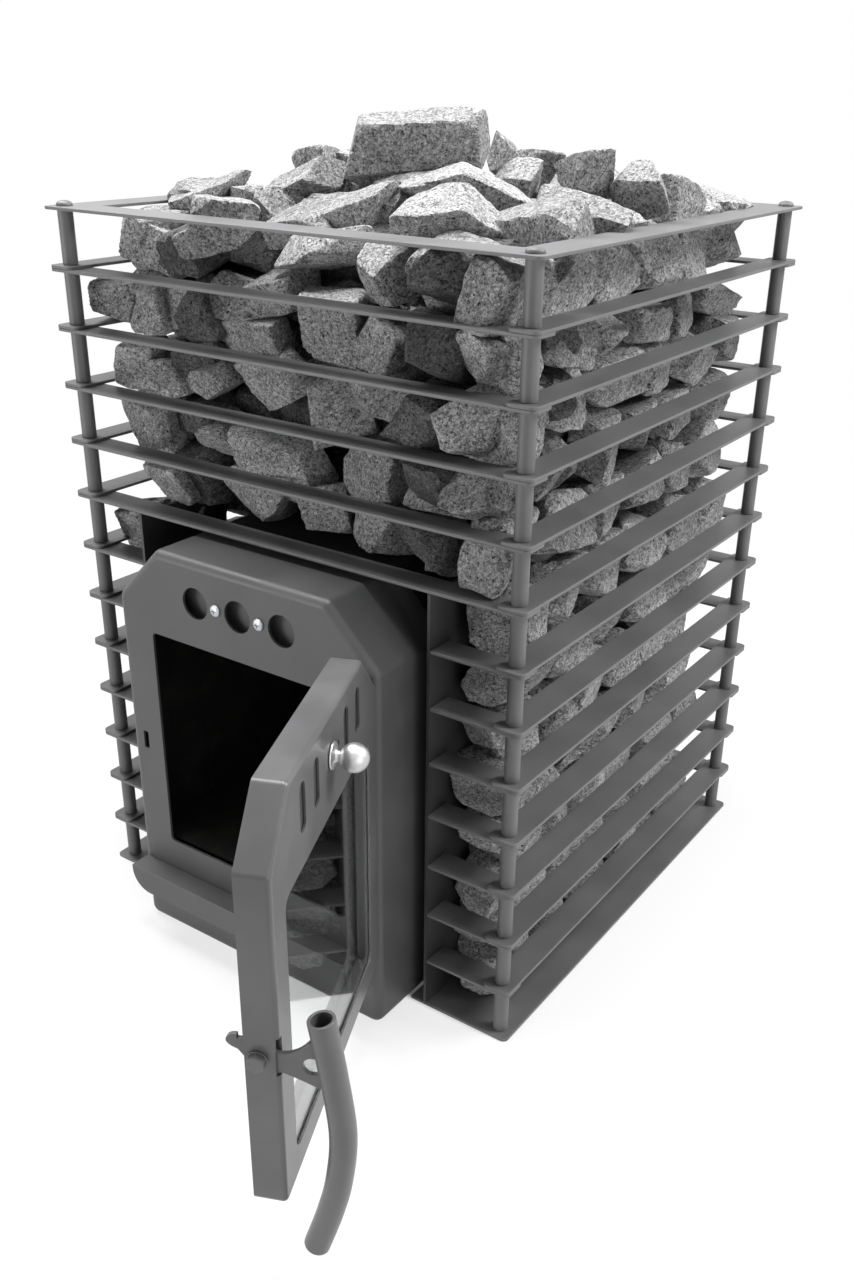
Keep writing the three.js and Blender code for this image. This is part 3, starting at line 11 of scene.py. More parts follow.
import bmesh
import bpy
import numpy as np
from bpy.props import FloatProperty, FloatVectorProperty, PointerProperty
from bpy.types import Operator, Panel, PropertyGroup
from mathutils import Euler, Matrix, Vector, noise


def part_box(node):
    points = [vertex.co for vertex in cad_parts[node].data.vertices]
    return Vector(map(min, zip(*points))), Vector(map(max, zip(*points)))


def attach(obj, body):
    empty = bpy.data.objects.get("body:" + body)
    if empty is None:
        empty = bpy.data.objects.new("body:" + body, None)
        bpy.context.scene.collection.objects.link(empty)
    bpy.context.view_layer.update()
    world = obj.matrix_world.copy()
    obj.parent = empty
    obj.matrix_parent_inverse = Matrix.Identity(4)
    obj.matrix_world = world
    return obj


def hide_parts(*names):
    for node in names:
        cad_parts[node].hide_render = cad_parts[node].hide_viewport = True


bl_info = {
    "name": "Sauna Stove Looks",
    "version": (1, 0, 0),
    "blender": (4, 5, 0),
    "location": "View3D > Sidebar > Stove",
    "description": "Dresses the packed sauna stove in paint, granite, glass and rope",
    "category": "Object",
}

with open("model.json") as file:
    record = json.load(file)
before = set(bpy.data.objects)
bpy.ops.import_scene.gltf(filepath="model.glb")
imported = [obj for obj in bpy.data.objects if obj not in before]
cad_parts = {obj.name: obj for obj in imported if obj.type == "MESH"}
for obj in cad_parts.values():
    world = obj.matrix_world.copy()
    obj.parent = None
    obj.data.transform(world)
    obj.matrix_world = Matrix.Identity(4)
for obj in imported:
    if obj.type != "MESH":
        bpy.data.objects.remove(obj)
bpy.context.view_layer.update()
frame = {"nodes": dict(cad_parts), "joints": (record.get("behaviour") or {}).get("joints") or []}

MM = 0.001
PAST = 10 * MM  # how far a cutter reaches past what it cuts
HAIR = 0.01 * MM  # keeps the two arcs at a slot's end from meeting
NEARLY = 1e-6  # how close two places are to count as one
FLANGE = 14 * MM  # how far the flue spigot's flange stands out from its pipe
CORNERS = {"front_left": (-1, -1), "front_right": (1, -1), "back_left": (-1, 1), "back_right": (1, 1)}
RING_NAMES = [f"cage_ring_{number:02d}" for number in range(1, 13)]

# Places taken from the frame
PLATE_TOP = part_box("base_plate")[1].z
OUTER_X, OUTER_Y, CAGE_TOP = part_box("top_frame")[1]
TOP_FRAME_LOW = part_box("top_frame")[0].z
LEVEL_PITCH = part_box(RING_NAMES[1])[1].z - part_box(RING_NAMES[0])[1].z
PORTAL_LOW, PORTAL_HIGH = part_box("portal_frame")
FACE_Y = PORTAL_LOW.y
CHEEK_INNER, CHEEK_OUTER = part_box("cheek_plate_right")[0].x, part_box("cheek_plate_right")[1].x
CHEEK_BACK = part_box("cheek_plate_right")[1].y
BED_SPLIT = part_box("stone_bed_upper")[0].z
STONE_X, STONE_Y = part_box("stone_bed_upper")[1].x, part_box("stone_bed_upper")[1].y
HINGE = next(joint for joint in frame["joints"] if joint["name"] == "door_hinge")
PIN = Vector(HINGE["pos_m"])
OPENING = Matrix.Rotation(math.radians(-HINGE["range_deg"][0]), 4, "Z")
AS_SHOWN = Matrix.Translation(PIN) @ OPENING @ Matrix.Translation(-PIN)


# Settings that a user may change

def length(name, description, millimetres):
    """A length setting, given in millimetres."""
    return FloatProperty(name=name, description=description, default=millimetres * MM, unit="LENGTH")


def angle(name, description, degrees):
    """An angle setting, given in degrees."""
    return FloatProperty(name=name, description=description, default=math.radians(degrees), subtype="ANGLE")


def linear(code):
    """The linear colour of an sRGB hex code."""
    channels = (int(code[i:i + 2], 16) / 255 for i in (1, 3, 5))
    return tuple(c / 12.92 if c <= 0.04045 else ((c + 0.055) / 1.055) ** 2.4 for c in channels)


def colour(name, description, code):
    """A colour setting, given as an sRGB hex code."""
    return FloatVectorProperty(
        name=name, description=description, default=linear(code), subtype="COLOR", size=3, min=0, max=1
    )


class StoveCage(PropertyGroup):
    bar_width: length("Bar width", "Width of the cage's flat bars", 30)
    bar_thickness: length("Bar thickness", "Thickness of the cage's flat bars", 3)
    bar_corner: length("Bar corner", "Radius of the bars' corners", 6)
    bar_cut: length("Cut bar corner", "Radius left by the saw where a bar stops at a cheek plate", 0.6)
    top_width: length("Top frame width", "Width of the frame that caps the posts", 40)
    sleeve: length("Sleeve", "Diameter of the spacer sleeves", 15)
    rod: length("Tie rod", "Diameter of the rods through the sleeves", 8)
    dome: length("Dome", "Diameter of the domed nuts on the posts", 16)
    dome_height: length("Dome height", "Height of the domed nuts", 5)
    edge: length("Edge", "How far the cut edges of bars and plates are broken", 0.5)


class StovePortal(PropertyGroup):
    chamfer: length("Chamfer", "Slant across the portal's upper corners", 57)
    sheet: length("Sheet", "Thickness of the portal's sheet", 3)
    bend: length("Bend", "Bend radius round the portal's face", 9)
    mouth_width: length("Mouth width", "Width of the firing opening", 238)
    mouth_bottom: length("Mouth bottom", "Firing opening above the base plate", 112)
    mouth_top: length("Mouth top", "Top of the firing opening above the base plate", 360)
    mouth_corner: length("Mouth corner", "Corner radius of the firing opening", 5)
    air_hole: length("Air hole", "Diameter of the air holes over the mouth", 32.5)
    air_pitch: length("Air hole pitch", "Distance between the air holes", 55)
    air_height: length("Air hole height", "Air holes above the base plate", 407)
    screw_head: length("Screw head", "Diameter of the screw heads between the air holes", 12)
    lip_bend: length("Lip bend", "Bend radius of the ash lip's front edge", 8)
    lip_corner: length("Lip corner", "Radius of the ash lip's lower corners", 24)


class StoveDoor(PropertyGroup):
    width: length("Width", "Width of the door", 296)
    bottom: length("Bottom", "Lower edge of the door above the base plate", 79.5)
    top: length("Top", "Upper edge of the door above the base plate", 431)
    chamfer: length("Chamfer", "Slant across the door's upper corners", 47)
    depth: length("Depth", "Depth of the door's rim", 27)
    standoff: length("Standoff", "Gap between the closed door and the portal", 2)
    sheet: length("Sheet", "Thickness of the door's sheet", 2)
    bend: length("Bend", "Bend radius round the door's face", 4)
    stile: length("Stile", "Face left beside the window", 29)
    window_bottom: length("Window bottom", "Window above the base plate", 107)
    window_top: length("Window top", "Top of the window above the base plate", 345)
    window_corner: length("Window corner", "Corner radius of the window", 10)
    rope: length("Rope", "Diameter of the sealing rope", 11)
    slot_width: length("Slot width", "Width of the draught slots", 14)
    slot_height: length("Slot height", "Height of the draught slots", 42)
    slot_bottom: length("Slot bottom", "Draught slots above the base plate", 372.5)
    slot_inner: length("Inner slots", "Inner draught slots from the knob", 42)
    slot_outer: length("Outer slots", "Outer draught slots from the knob", 77)
    draught_offset: length("Draught offset", "Knob and slots from the door's middle, towards the hinge", 5.5)
    draught_travel: length("Draught travel", "How far the knob can be pushed towards the hinge", 17.5)
    knob: length("Knob", "Diameter of the draught knob's ball", 24)


class StoveLatch(PropertyGroup):
    height: length("Height", "Latch pivot above the base plate", 224)
    setback: length("Setback", "Latch pivot behind the door's face", 16.5)
    lever: length("Lever", "Thickness of the latch lever", 4)
    eye: length("Eye", "Diameter of the round gap in the lever's fork", 15)
    eye_reach: length("Eye reach", "From the pivot out to the gap in the lever's fork", 40.5)
    bolt_flats: length("Bolt head", "Pivot bolt's head across its flats", 13)
    bolt_height: length("Bolt head height", "Height of the pivot bolt's head", 5.3)
    washer: length("Washer", "Diameter of the washer under the bolt's head", 16)
    tube: length("Handle tube", "Diameter of the handle's tube", 21.3)
    tube_wall: length("Tube wall", "Wall of the handle's tube", 2.6)


class StoveStones(PropertyGroup):
    wall_width: length("Wall stone width", "Usual width of the stones along the sides and the back", 84)
    wall_height: length("Wall stone height", "Usual height of the stones along the sides and the back", 62)
    depth: length("Stone depth", "Usual depth of the stones behind the bars", 66)
    setback: length("Setback", "How far the stones of a wall may stand back from the bars", 10)
    hackle: length("Hackle", "Height of the unevenness of a broken face", 0.9)
    crease: angle("Crease", "Angle from which an edge shows", 24)
    tip: angle("Tip", "How far a stone's face tips up at most", 18)
    # Painted shade: stones deep inside keep only this share of their tone, so that the gaps between the
    # stones in front look dark.
    painted_shade_tone: FloatProperty(
        name="Shaded", description="How much of its tone a stone deep inside keeps",
        default=0.3, subtype="FACTOR", min=0, max=1,
    )


class StoveFinish(PropertyGroup):
    cage_paint: colour("Cage paint", "Silicone heat paint on the cage", "#606061")
    portal_paint: colour("Portal paint", "Silicone heat paint on the portal", "#484849")
    door_paint: colour("Door paint", "Silicone heat paint on the door", "#5a5a5b")
    # Painted shade: a darker heat paint for the cheek plates and the draught slider, which stand in shade
    # beside the firebox and at the bottom of the draught slots.
    painted_shade_paint: colour("Painted shade", "Heat paint darkened as painted shade", "#2b2b2b")
    soot: colour("Soot", "Soot on the steel inside the firebox", "#151413")
    zinc: colour("Zinc", "Zinc plating on bolts, screws and pins", "#b9bbbe")
    aluminium: colour("Aluminium", "Turned aluminium of the knob", "#c4c4c5")
    glass: colour("Glass", "Faint grey of the door's glass-ceramic", "#f7f8f8")
    rope: colour("Rope", "Glass-fibre sealing rope", "#565656")
    mica: colour("Mica", "Dark grains in the granite", "#222224")
    feldspar: colour("Feldspar", "Middle grains in the granite", "#7a7a7b")
    quartz: colour("Quartz", "Pale grains in the granite", "#b2b2b2")
    fresh_break: colour("Fresh break", "Whitest grains in the granite", "#dededd")
    floor: colour("Floor", "Studio floor", "#f2f2f2")


class StoveSettings(PropertyGroup):
    cage: PointerProperty(type=StoveCage)
    portal: PointerProperty(type=StovePortal)
    door: PointerProperty(type=StoveDoor)
    latch: PointerProperty(type=StoveLatch)
    stones: PointerProperty(type=StoveStones)
    finish: PointerProperty(type=StoveFinish)


# Outlines, in the plane that they are drawn in

def rectangle(left, right, low, high):
    return [(left, low), (right, low), (right, high), (left, high)]


def chamfered(half, low, high, cut):
    """A front with its two upper corners cut across."""
    foot = [(-half, low), (half, low)]
    return foot + [(half, high - cut), (half - cut, high), (cut - half, high), (-half, high - cut)]


def rounded(corners, radii, steps=5):
    """The outline with an arc in place of each corner. One radius serves for all, or there is one each."""
    if not isinstance(radii, (list, tuple)):
        radii = [radii] * len(corners)
    points = []
    for i, radius in enumerate(radii):
        here = Vector(corners[i])
        back = (Vector(corners[i - 1]) - here).normalized()
        on = (Vector(corners[(i + 1) % len(corners)]) - here).normalized()
        spread = back.angle(on)
        centre = here + (back + on).normalized() * radius / math.sin(spread / 2)
        start = here + back * radius / math.tan(spread / 2) - centre
        end = here + on * radius / math.tan(spread / 2) - centre
        swing = math.pi - spread
        for k in range(steps + 1):
            far, near = math.sin(swing * k / steps), math.sin(swing * (1 - k / steps))
            points.append(centre + (start * near + end * far) / math.sin(swing))
    return points


def circle(x, y, radius, steps=40):
    turns = (2 * math.pi * k / steps for k in range(steps))
    return [(x + radius * math.cos(turn), y + radius * math.sin(turn)) for turn in turns]


def bow(start, pull, end, steps=6):
    """A curve from start to end, drawn towards pull. The start itself is left out."""
    points = []
    for k in range(1, steps + 1):
        t = k / steps
        first, second, third = (1 - t) ** 2, 2 * t * (1 - t), t * t
        points.append(tuple(first * a + second * b + third * c for a, b, c in zip(start, pull, end)))
    return points


def dome(radius, foot, rise, steps):
    """Radius and height of a domed head, from its rim up to its middle."""
    turns = [math.pi / 2 * k / steps for k in range(steps)]
    profile = [(radius * math.cos(turn), foot + rise * math.sin(turn)) for turn in turns]
    return profile + [(0, foot + rise)]


# Solids

def raised(point, height, axis):
    """A point of an outline, set at a height along the axis."""
    a, b = point
    return {"x": (height, a, b), "y": (a, height, b), "z": (a, b, height)}[axis]


def add_prism(bm, outline, low, high, axis):
    """Adds a closed prism whose outline lies across the axis."""
    ends = [[bm.verts.new(raised(point, height, axis)) for point in outline] for height in (low, high)]
    faces = [bm.faces.new(ends[0]), bm.faces.new(ends[1])]
    for i in range(len(outline)):
        faces.append(bm.faces.new((ends[0][i - 1], ends[0][i], ends[1][i], ends[1][i - 1])))
    bmesh.ops.recalc_face_normals(bm, faces=faces)


def prism(outline, low, high, axis):
    bm = bmesh.new()
    add_prism(bm, outline, low, high, axis)
    return bm


def add_turned(bm, profile, sides, place=Matrix()):
    """Adds a body turned about Z from (radius, height) pairs, then put in its place."""
    rings = []
    for radius, height in profile:
        if radius == 0:
            rings.append([bm.verts.new(place @ Vector((0, 0, height)))] * sides)
        else:
            spots = circle(0, 0, radius, sides)
            rings.append([bm.verts.new(place @ Vector((x, y, height))) for x, y in spots])
    faces = []
    for lower, upper in zip(rings, rings[1:]):
        for i in range(sides):
            corners = dict.fromkeys((lower[i - 1], lower[i], upper[i], upper[i - 1]))
            faces.append(bm.faces.new(list(corners)))
    bmesh.ops.recalc_face_normals(bm, faces=faces)


def add_swept(bm, path, across, section, closed=False):
    """Adds a skin along a path in the plane square to across. The section gives (across, out) at a step."""
    count = len(path)
    rings = []
    for i, point in enumerate(path):
        before = path[i - 1] if closed or i else point
        after = path[(i + 1) % count] if closed or i + 1 < count else point
        out = (after - before).normalized().cross(across)
        rings.append([bm.verts.new(point + across * a + out * b) for a, b in section(i)])
    faces = []
    for i in range(0 if closed else 1, count):
        for k in range(len(rings[0])):
            corners = (rings[i - 1][k - 1], rings[i - 1][k], rings[i][k], rings[i][k - 1])
            faces.append(bm.faces.new(corners))
    return rings, faces


def smooth_path(points, steps):
    """A curve through all points, with a tangent at each that runs between its neighbours."""
    points = [Vector(point) for point in points]
    ends = [2 * points[0] - points[1]] + points + [2 * points[-1] - points[-2]]
    path = [points[0]]
    for before, start, end, after in zip(ends, ends[1:], ends[2:], ends[3:]):
        leave, arrive = (end - before) / 2, (after - start) / 2
        for k in range(1, steps + 1):
            t = k / steps
            path.append(
                (2 * t ** 3 - 3 * t ** 2 + 1) * start + (t ** 3 - 2 * t ** 2 + t) * leave
                + (3 * t ** 2 - 2 * t ** 3) * end + (t ** 3 - t ** 2) * arrive
            )
    return path


def as_object(name, bm):
    mesh = bpy.data.meshes.new(name)
    bm.to_mesh(mesh)
    bm.free()
    obj = bpy.data.objects.new(name, mesh)
    bpy.context.scene.collection.objects.link(obj)
    return obj


def worked(bm, sheet=None, cutters=(), keep=None):
    """The body after it is thickened inwards to a sheet, cut by the cutters and trimmed to keep.

    The inside of a sheet takes the second material.
    """
    blank = as_object("blank", bm)
    tools = []
    if sheet:
        blank.data.materials.append(None)
        blank.data.materials.append(None)
        step = blank.modifiers.new("sheet", "SOLIDIFY")
        step.thickness, step.offset, step.use_even_offset = sheet, -1, True
        step.material_offset = 1
    cuts = [("DIFFERENCE", cutter) for cutter in cutters]
    if keep:
        cuts.append(("INTERSECT", keep))
    for operation, cutter in cuts:
        tools.append(as_object("tool", cutter))
        step = blank.modifiers.new("cut", "BOOLEAN")
        step.operation, step.solver, step.object = operation, "EXACT", tools[-1]
    result = bmesh.new()
    result.from_object(blank, bpy.context.evaluated_depsgraph_get())
    for obj in [blank, *tools]:
        mesh = obj.data
        bpy.data.objects.remove(obj)
        bpy.data.meshes.remove(mesh)
    bmesh.ops.remove_doubles(result, verts=result.verts, dist=NEARLY)
    return result


def bend_edges(bm, edges, radius):
    """Turns sharp edges into the round of a bend."""
    bmesh.ops.bevel(bm, geom=edges, offset=radius, segments=5, profile=0.5, affect="EDGES")


def folded_pan(outline, front, back, bend, sheet, cutters):
    """A sheet with its rim folded back all round, open behind."""
    bm = prism(outline, front, back, "y")
    on_face = [edge for edge in bm.edges if all(abs(vert.co.y - front) < NEARLY for vert in edge.verts)]
    bend_edges(bm, on_face, bend)
    behind = [face for face in bm.faces if all(abs(vert.co.y - back) < NEARLY for vert in face.verts)]
    bmesh.ops.delete(bm, geom=behind, context="FACES_ONLY")
    return worked(bm, sheet=sheet, cutters=cutters)


def piece(name, bm, body, material, stands_for, edge=0.0, place=None, crease=40, inside=None):
    """Turns the body into a finished piece that moves with a CAD body and stands for CAD nodes.

    Edges sharper than the crease, in degrees, show. The inside of a sheet can have a material of its own.
    """
    obj = as_object(name, bm)
    if place:
        obj.data.transform(place)
    obj.data.shade_smooth()
    obj.data.set_sharp_from_angle(angle=math.radians(crease))
    obj.data.materials.append(material)
    obj.data.materials.append(inside or material)
    if edge:
        soft = obj.modifiers.new("broken edges", "BEVEL")
        soft.width, soft.segments = edge, 2
        soft.limit_method, soft.angle_limit = "ANGLE", math.radians(crease)
        obj.data.set_sharp_from_angle(angle=math.pi)
        flat = obj.modifiers.new("flat faces", "WEIGHTED_NORMAL")
        flat.weight = 100
    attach(obj, body)
    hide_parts(*stands_for)
    return obj


def dress(names, material):
    """Gives CAD nodes that stay in view their material."""
    for name in names:
        materials = frame["nodes"][name].data.materials
        materials.clear()
        materials.append(material)


# Materials

def add_node(tree, kind, inputs=(), stops=(), **settings):
    """Adds a node. Inputs are values or sockets by name or number, stops are a ramp's places and colours."""
    made = tree.nodes.new(kind)
    for key, value in settings.items():
        setattr(made, key, value)
    for key, value in dict(inputs).items():
        if isinstance(value, bpy.types.NodeSocket):
            tree.links.new(value, made.inputs[key])
        else:
            made.inputs[key].default_value = value
    for i, (place, shade) in enumerate(stops):
        elements = made.color_ramp.elements
        stop = elements[i] if i < 2 else elements.new(place)
        stop.position, stop.color = place, (*shade, 1)
    return made


def new_material(name, **surface):
    """A material, its tree and its surface shader, with the constants set on the shader."""
    material = bpy.data.materials.new(name)
    material.use_nodes = True
    shader = material.node_tree.nodes["Principled BSDF"]
    for key, value in surface.items():
        shader.inputs[key.replace("_", " ").title().replace("Ior", "IOR")].default_value = value
    return material, material.node_tree, shader


def scale_for(millimetres):
    """The scale that draws a pattern's features at this size."""
    return 1 / (millimetres * MM)


def heat_paint(name, shade, satin=(0.42, 0.56)):
    """Silicone heat paint on sheet steel: dry satin with a fine grain, and pale scuffs from handling.

    Satin is the range of its roughness.
    """
    material, tree, shader = new_material(name, specular_ior_level=0.5)
    place = add_node(tree, "ShaderNodeTexCoord").outputs["Object"]
    # The spray drifts over a hand's width, and scuffs are as wide as a fingertip.
    # Spray grain is about 0.2 mm and is drawn coarser, so that it shows.
    drift = add_node(tree, "ShaderNodeTexNoise", {"Vector": place, "Scale": scale_for(70), "Detail": 5})
    grain = add_node(tree, "ShaderNodeTexNoise", {"Vector": place, "Scale": scale_for(1.1), "Detail": 2})
    dark = tuple(0.88 * c for c in shade)
    pale = tuple(1.1 * c + 0.004 for c in shade)
    tone = add_node(
        tree, "ShaderNodeValToRGB", {"Fac": drift.outputs["Fac"]}, stops=[(0.32, dark), (0.7, pale)]
    )
    rubbed = add_node(
        tree, "ShaderNodeTexNoise",
        {"Vector": place, "Scale": scale_for(14), "Detail": 8, "Roughness": 0.72, "Distortion": 0.8},
    )
    scuffed = add_node(
        tree, "ShaderNodeMapRange",
        {"Value": rubbed.outputs["Fac"], "From Min": 0.67, "From Max": 0.8, "To Min": 0.0, "To Max": 0.6},
    )
    worn = tuple(2.2 * c + 0.02 for c in shade)
    face = add_node(
        tree, "ShaderNodeMix",
        {"Factor": scuffed.outputs["Result"], "A": tone.outputs["Color"], "B": (*worn, 1)}, data_type="RGBA",
    )
    sheen = add_node(
        tree, "ShaderNodeMapRange",
        {
            "Value": drift.outputs["Fac"], "From Min": 0.3, "From Max": 0.7,
            "To Min": satin[0], "To Max": satin[1],
        },
    )
    relief = add_node(
        tree, "ShaderNodeBump", {"Height": grain.outputs["Fac"], "Strength": 0.08, "Distance": 0.3 * MM}
    )
    tree.links.new(face.outputs["Result"], shader.inputs["Base Color"])
    tree.links.new(sheen.outputs["Result"], shader.inputs["Roughness"])
    tree.links.new(relief.outputs["Normal"], shader.inputs["Normal"])
    return material


def sooted_steel(shade):
    """Soot on firebox steel: dead black, with greyer scale showing through in patches."""
    material, tree, shader = new_material("Sooted firebox steel", roughness=0.92, specular_ior_level=0.2)
    place = add_node(tree, "ShaderNodeTexCoord").outputs["Object"]
    patches = add_node(tree, "ShaderNodeTexNoise", {"Vector": place, "Scale": scale_for(38), "Detail": 7})
    scale = tuple(2.2 * c for c in shade)
    tone = add_node(
        tree, "ShaderNodeValToRGB", {"Fac": patches.outputs["Fac"]}, stops=[(0.45, shade), (0.72, scale)]
    )
    tree.links.new(tone.outputs["Color"], shader.inputs["Base Color"])
    return material


def zinc_plate(shade):
    """Zinc plating: cool bright metal, dulled unevenly by handling and heat."""
    material, tree, shader = new_material("Zinc-plated steel", base_color=(*shade, 1), metallic=1)
    place = add_node(tree, "ShaderNodeTexCoord").outputs["Object"]
    dull = add_node(tree, "ShaderNodeTexNoise", {"Vector": place, "Scale": scale_for(4), "Detail": 4})
    gloss = add_node(
        tree, "ShaderNodeMapRange", {"Value": dull.outputs["Fac"], "To Min": 0.22, "To Max": 0.5}
    )
    tree.links.new(gloss.outputs["Result"], shader.inputs["Roughness"])
    return material


def turned_aluminium(shade):
    """Turned aluminium: pale metal whose shine is softened by fine tool marks."""
    material, tree, shader = new_material(
        "Turned aluminium", base_color=(*shade, 1), metallic=1, roughness=0.42
    )
    place = add_node(tree, "ShaderNodeTexCoord").outputs["Object"]
    # Tool marks are about 0.1 mm and are drawn coarser, so that they show.
    marks = add_node(tree, "ShaderNodeTexNoise", {"Vector": place, "Scale": scale_for(1.4), "Detail": 2})
    relief = add_node(
        tree, "ShaderNodeBump", {"Height": marks.outputs["Fac"], "Strength": 0.05, "Distance": 0.1 * MM}
    )
    tree.links.new(relief.outputs["Normal"], shader.inputs["Normal"])
    return material


def heat_glass(shade):
    """Glass-ceramic pane: clear, with a faint grey body and a sharp reflection."""
    material, _, _ = new_material(
        "Glass-ceramic pane", base_color=(*shade, 1), roughness=0.02, transmission_weight=1, ior=1.5
    )
    return material


def sealing_rope(shade):
    """Glass-fibre rope: matt charcoal strands with paler worn crowns."""
    material, tree, shader = new_material("Glass-fibre rope", roughness=0.95, specular_ior_level=0.2)
    place = add_node(tree, "ShaderNodeTexCoord").outputs["Object"]
    # Strands of 2.4 mm.
    strands = add_node(tree, "ShaderNodeTexVoronoi", {"Vector": place, "Scale": scale_for(2.4)})
    worn = tuple(1.9 * c for c in shade)
    tone = add_node(
        tree, "ShaderNodeValToRGB", {"Fac": strands.outputs["Distance"]}, stops=[(0.1, worn), (0.7, shade)]
    )
    relief = add_node(
        tree, "ShaderNodeBump", {"Height": strands.outputs["Distance"], "Strength": 0.5, "Distance": 0.6 * MM}
    )
    tree.links.new(tone.outputs["Color"], shader.inputs["Base Color"])
    tree.links.new(relief.outputs["Normal"], shader.inputs["Normal"])
    return material


def granite(finish):
    """Broken granite: salt-and-pepper of dark mica, grey feldspar and pale quartz, with a dry rough break."""
    material, tree, shader = new_material("Broken granite", roughness=0.88, specular_ior_level=0.25)
    place = add_node(tree, "ShaderNodeTexCoord").outputs["Object"]
    # Mineral grains are 1 to 3 mm wide, and their outlines waver by about one grain.
    waver = add_node(tree, "ShaderNodeTexNoise", {"Vector": place, "Scale": scale_for(2), "Detail": 2})
    pushed = add_node(
        tree, "ShaderNodeVectorMath",
        {0: waver.outputs["Color"], 1: (1.6 * MM,) * 3, 2: place}, operation="MULTIPLY_ADD",
    )
    bent = pushed.outputs["Vector"]
    grains = add_node(tree, "ShaderNodeTexVoronoi", {"Vector": bent, "Scale": scale_for(1.1)})
    crystals = add_node(tree, "ShaderNodeTexVoronoi", {"Vector": bent, "Scale": scale_for(2.5)})
    stops = [(0, finish.mica), (0.24, finish.feldspar), (0.58, finish.quartz), (0.9, finish.fresh_break)]
    fine = add_node(tree, "ShaderNodeValToRGB", {"Fac": grains.outputs["Color"]}, stops=stops)
    coarse = add_node(tree, "ShaderNodeValToRGB", {"Fac": crystals.outputs["Color"]}, stops=stops)
    for minerals in (fine, coarse):
        minerals.color_ramp.interpolation = "CONSTANT"
    mixed = add_node(
        tree, "ShaderNodeMix",
        {"Factor": 0.45, "A": fine.outputs["Color"], "B": coarse.outputs["Color"]}, data_type="RGBA",
    )
    drift = add_node(tree, "ShaderNodeTexNoise", {"Vector": place, "Scale": scale_for(30), "Detail": 4})
    # The tone attribute: tone that differs at random, and darker still on stones deep inside as painted
    # shade.
    tone = add_node(tree, "ShaderNodeAttribute", attribute_name="tone")
    shade = add_node(
        tree, "ShaderNodeMapRange",
        {"Value": drift.outputs["Fac"], "From Min": 0.3, "From Max": 0.7, "To Min": 0.82, "To Max": 1.1},
    )
    strength = add_node(
        tree, "ShaderNodeMath", {0: tone.outputs["Fac"], 1: shade.outputs["Result"]}, operation="MULTIPLY"
    )
    final = add_node(
        tree, "ShaderNodeMix", {"Factor": 1.0, "A": mixed.outputs["Result"], "B": strength.outputs["Value"]},
        data_type="RGBA", blend_type="MULTIPLY",
    )
    rough = add_node(
        tree, "ShaderNodeTexNoise", {"Vector": place, "Scale": scale_for(4), "Detail": 6, "Roughness": 0.65}
    )
    relief = add_node(
        tree, "ShaderNodeBump", {"Height": rough.outputs["Fac"], "Strength": 0.75, "Distance": 1.6 * MM}
    )
    tree.links.new(final.outputs["Result"], shader.inputs["Base Color"])
    tree.links.new(relief.outputs["Normal"], shader.inputs["Normal"])
    return material


def finishes(finish):
    """All the materials by short name, made once and then found again."""
    made = bpy.context.scene.get("stove_finishes")
    if not made:
        materials = {
            "cage": heat_paint("Heat paint on flat bar", finish.cage_paint),
            "portal": heat_paint("Heat paint on folded sheet", finish.portal_paint),
            "door": heat_paint("Heat paint on the door", finish.door_paint, (0.28, 0.4)),
            # Painted shade: the darker paint for parts that stand in shade.
            "painted_shade": heat_paint("Heat paint darkened as painted shade in recesses", finish.painted_shade_paint),
            "soot": sooted_steel(finish.soot),
            "zinc": zinc_plate(finish.zinc),
            "aluminium": turned_aluminium(finish.aluminium),
            "glass": heat_glass(finish.glass),
            "rope": sealing_rope(finish.rope),
            "granite": granite(finish),
        }
        bpy.context.scene["stove_finishes"] = made = {key: value.name for key, value in materials.items()}
    return {key: bpy.data.materials[name] for key, name in made.items()}


# Stones

# Stones in the front of the upper cage: middle from left to right, level, width and height.
# The level counts the cage's bars, and the rest is in millimetres.
FRONT_STONES = [
    (-197, 12.35, 74, 52), (-142, 12.5, 52, 42), (0, 12.5, 97, 38), (76, 12.3, 54, 54), (127, 12.55, 56, 36),
    (153, 12.15, 88, 54), (222, 12.3, 58, 62),
    (-249, 11.3, 60, 48), (-184, 11.4, 74, 60), (-118, 11.6, 74, 44), (-110, 10.9, 172, 58),
    (18, 11.45, 92, 74), (-52, 11.8, 62, 42), (83, 11.3, 52, 54), (153, 11.35, 92, 64), (219, 11.4, 64, 64),
    (-219, 10.35, 52, 58), (-178, 10.2, 44, 48), (-135, 10.25, 74, 50), (-47, 10.4, 82, 66),
    (10, 10.05, 78, 92), (117, 10.3, 132, 54), (216, 10.4, 68, 70),
    (-206, 9.3, 74, 60), (-126, 9.25, 56, 50), (-46, 9.05, 116, 64), (73, 9.05, 86, 68), (178, 9.3, 142, 44),
    (-195, 8.33, 90, 56), (-72, 8.33, 114, 64), (14, 8.33, 64, 60), (86, 8.33, 88, 62), (160, 8.33, 78, 60),
    (216, 8.4, 66, 62),
]

# Stones beside the portal, given in the same way.
STRIP_STONES = [
    (217, 7.35, 66, 66), (217, 6.4, 66, 60), (216, 5.35, 64, 58), (217, 4.35, 66, 56), (217, 3.4, 66, 60),
    (217, 2.35, 66, 58), (217, 1.35, 66, 56), (217, 0.48, 66, 54), (-248, 7.2, 58, 54),
]

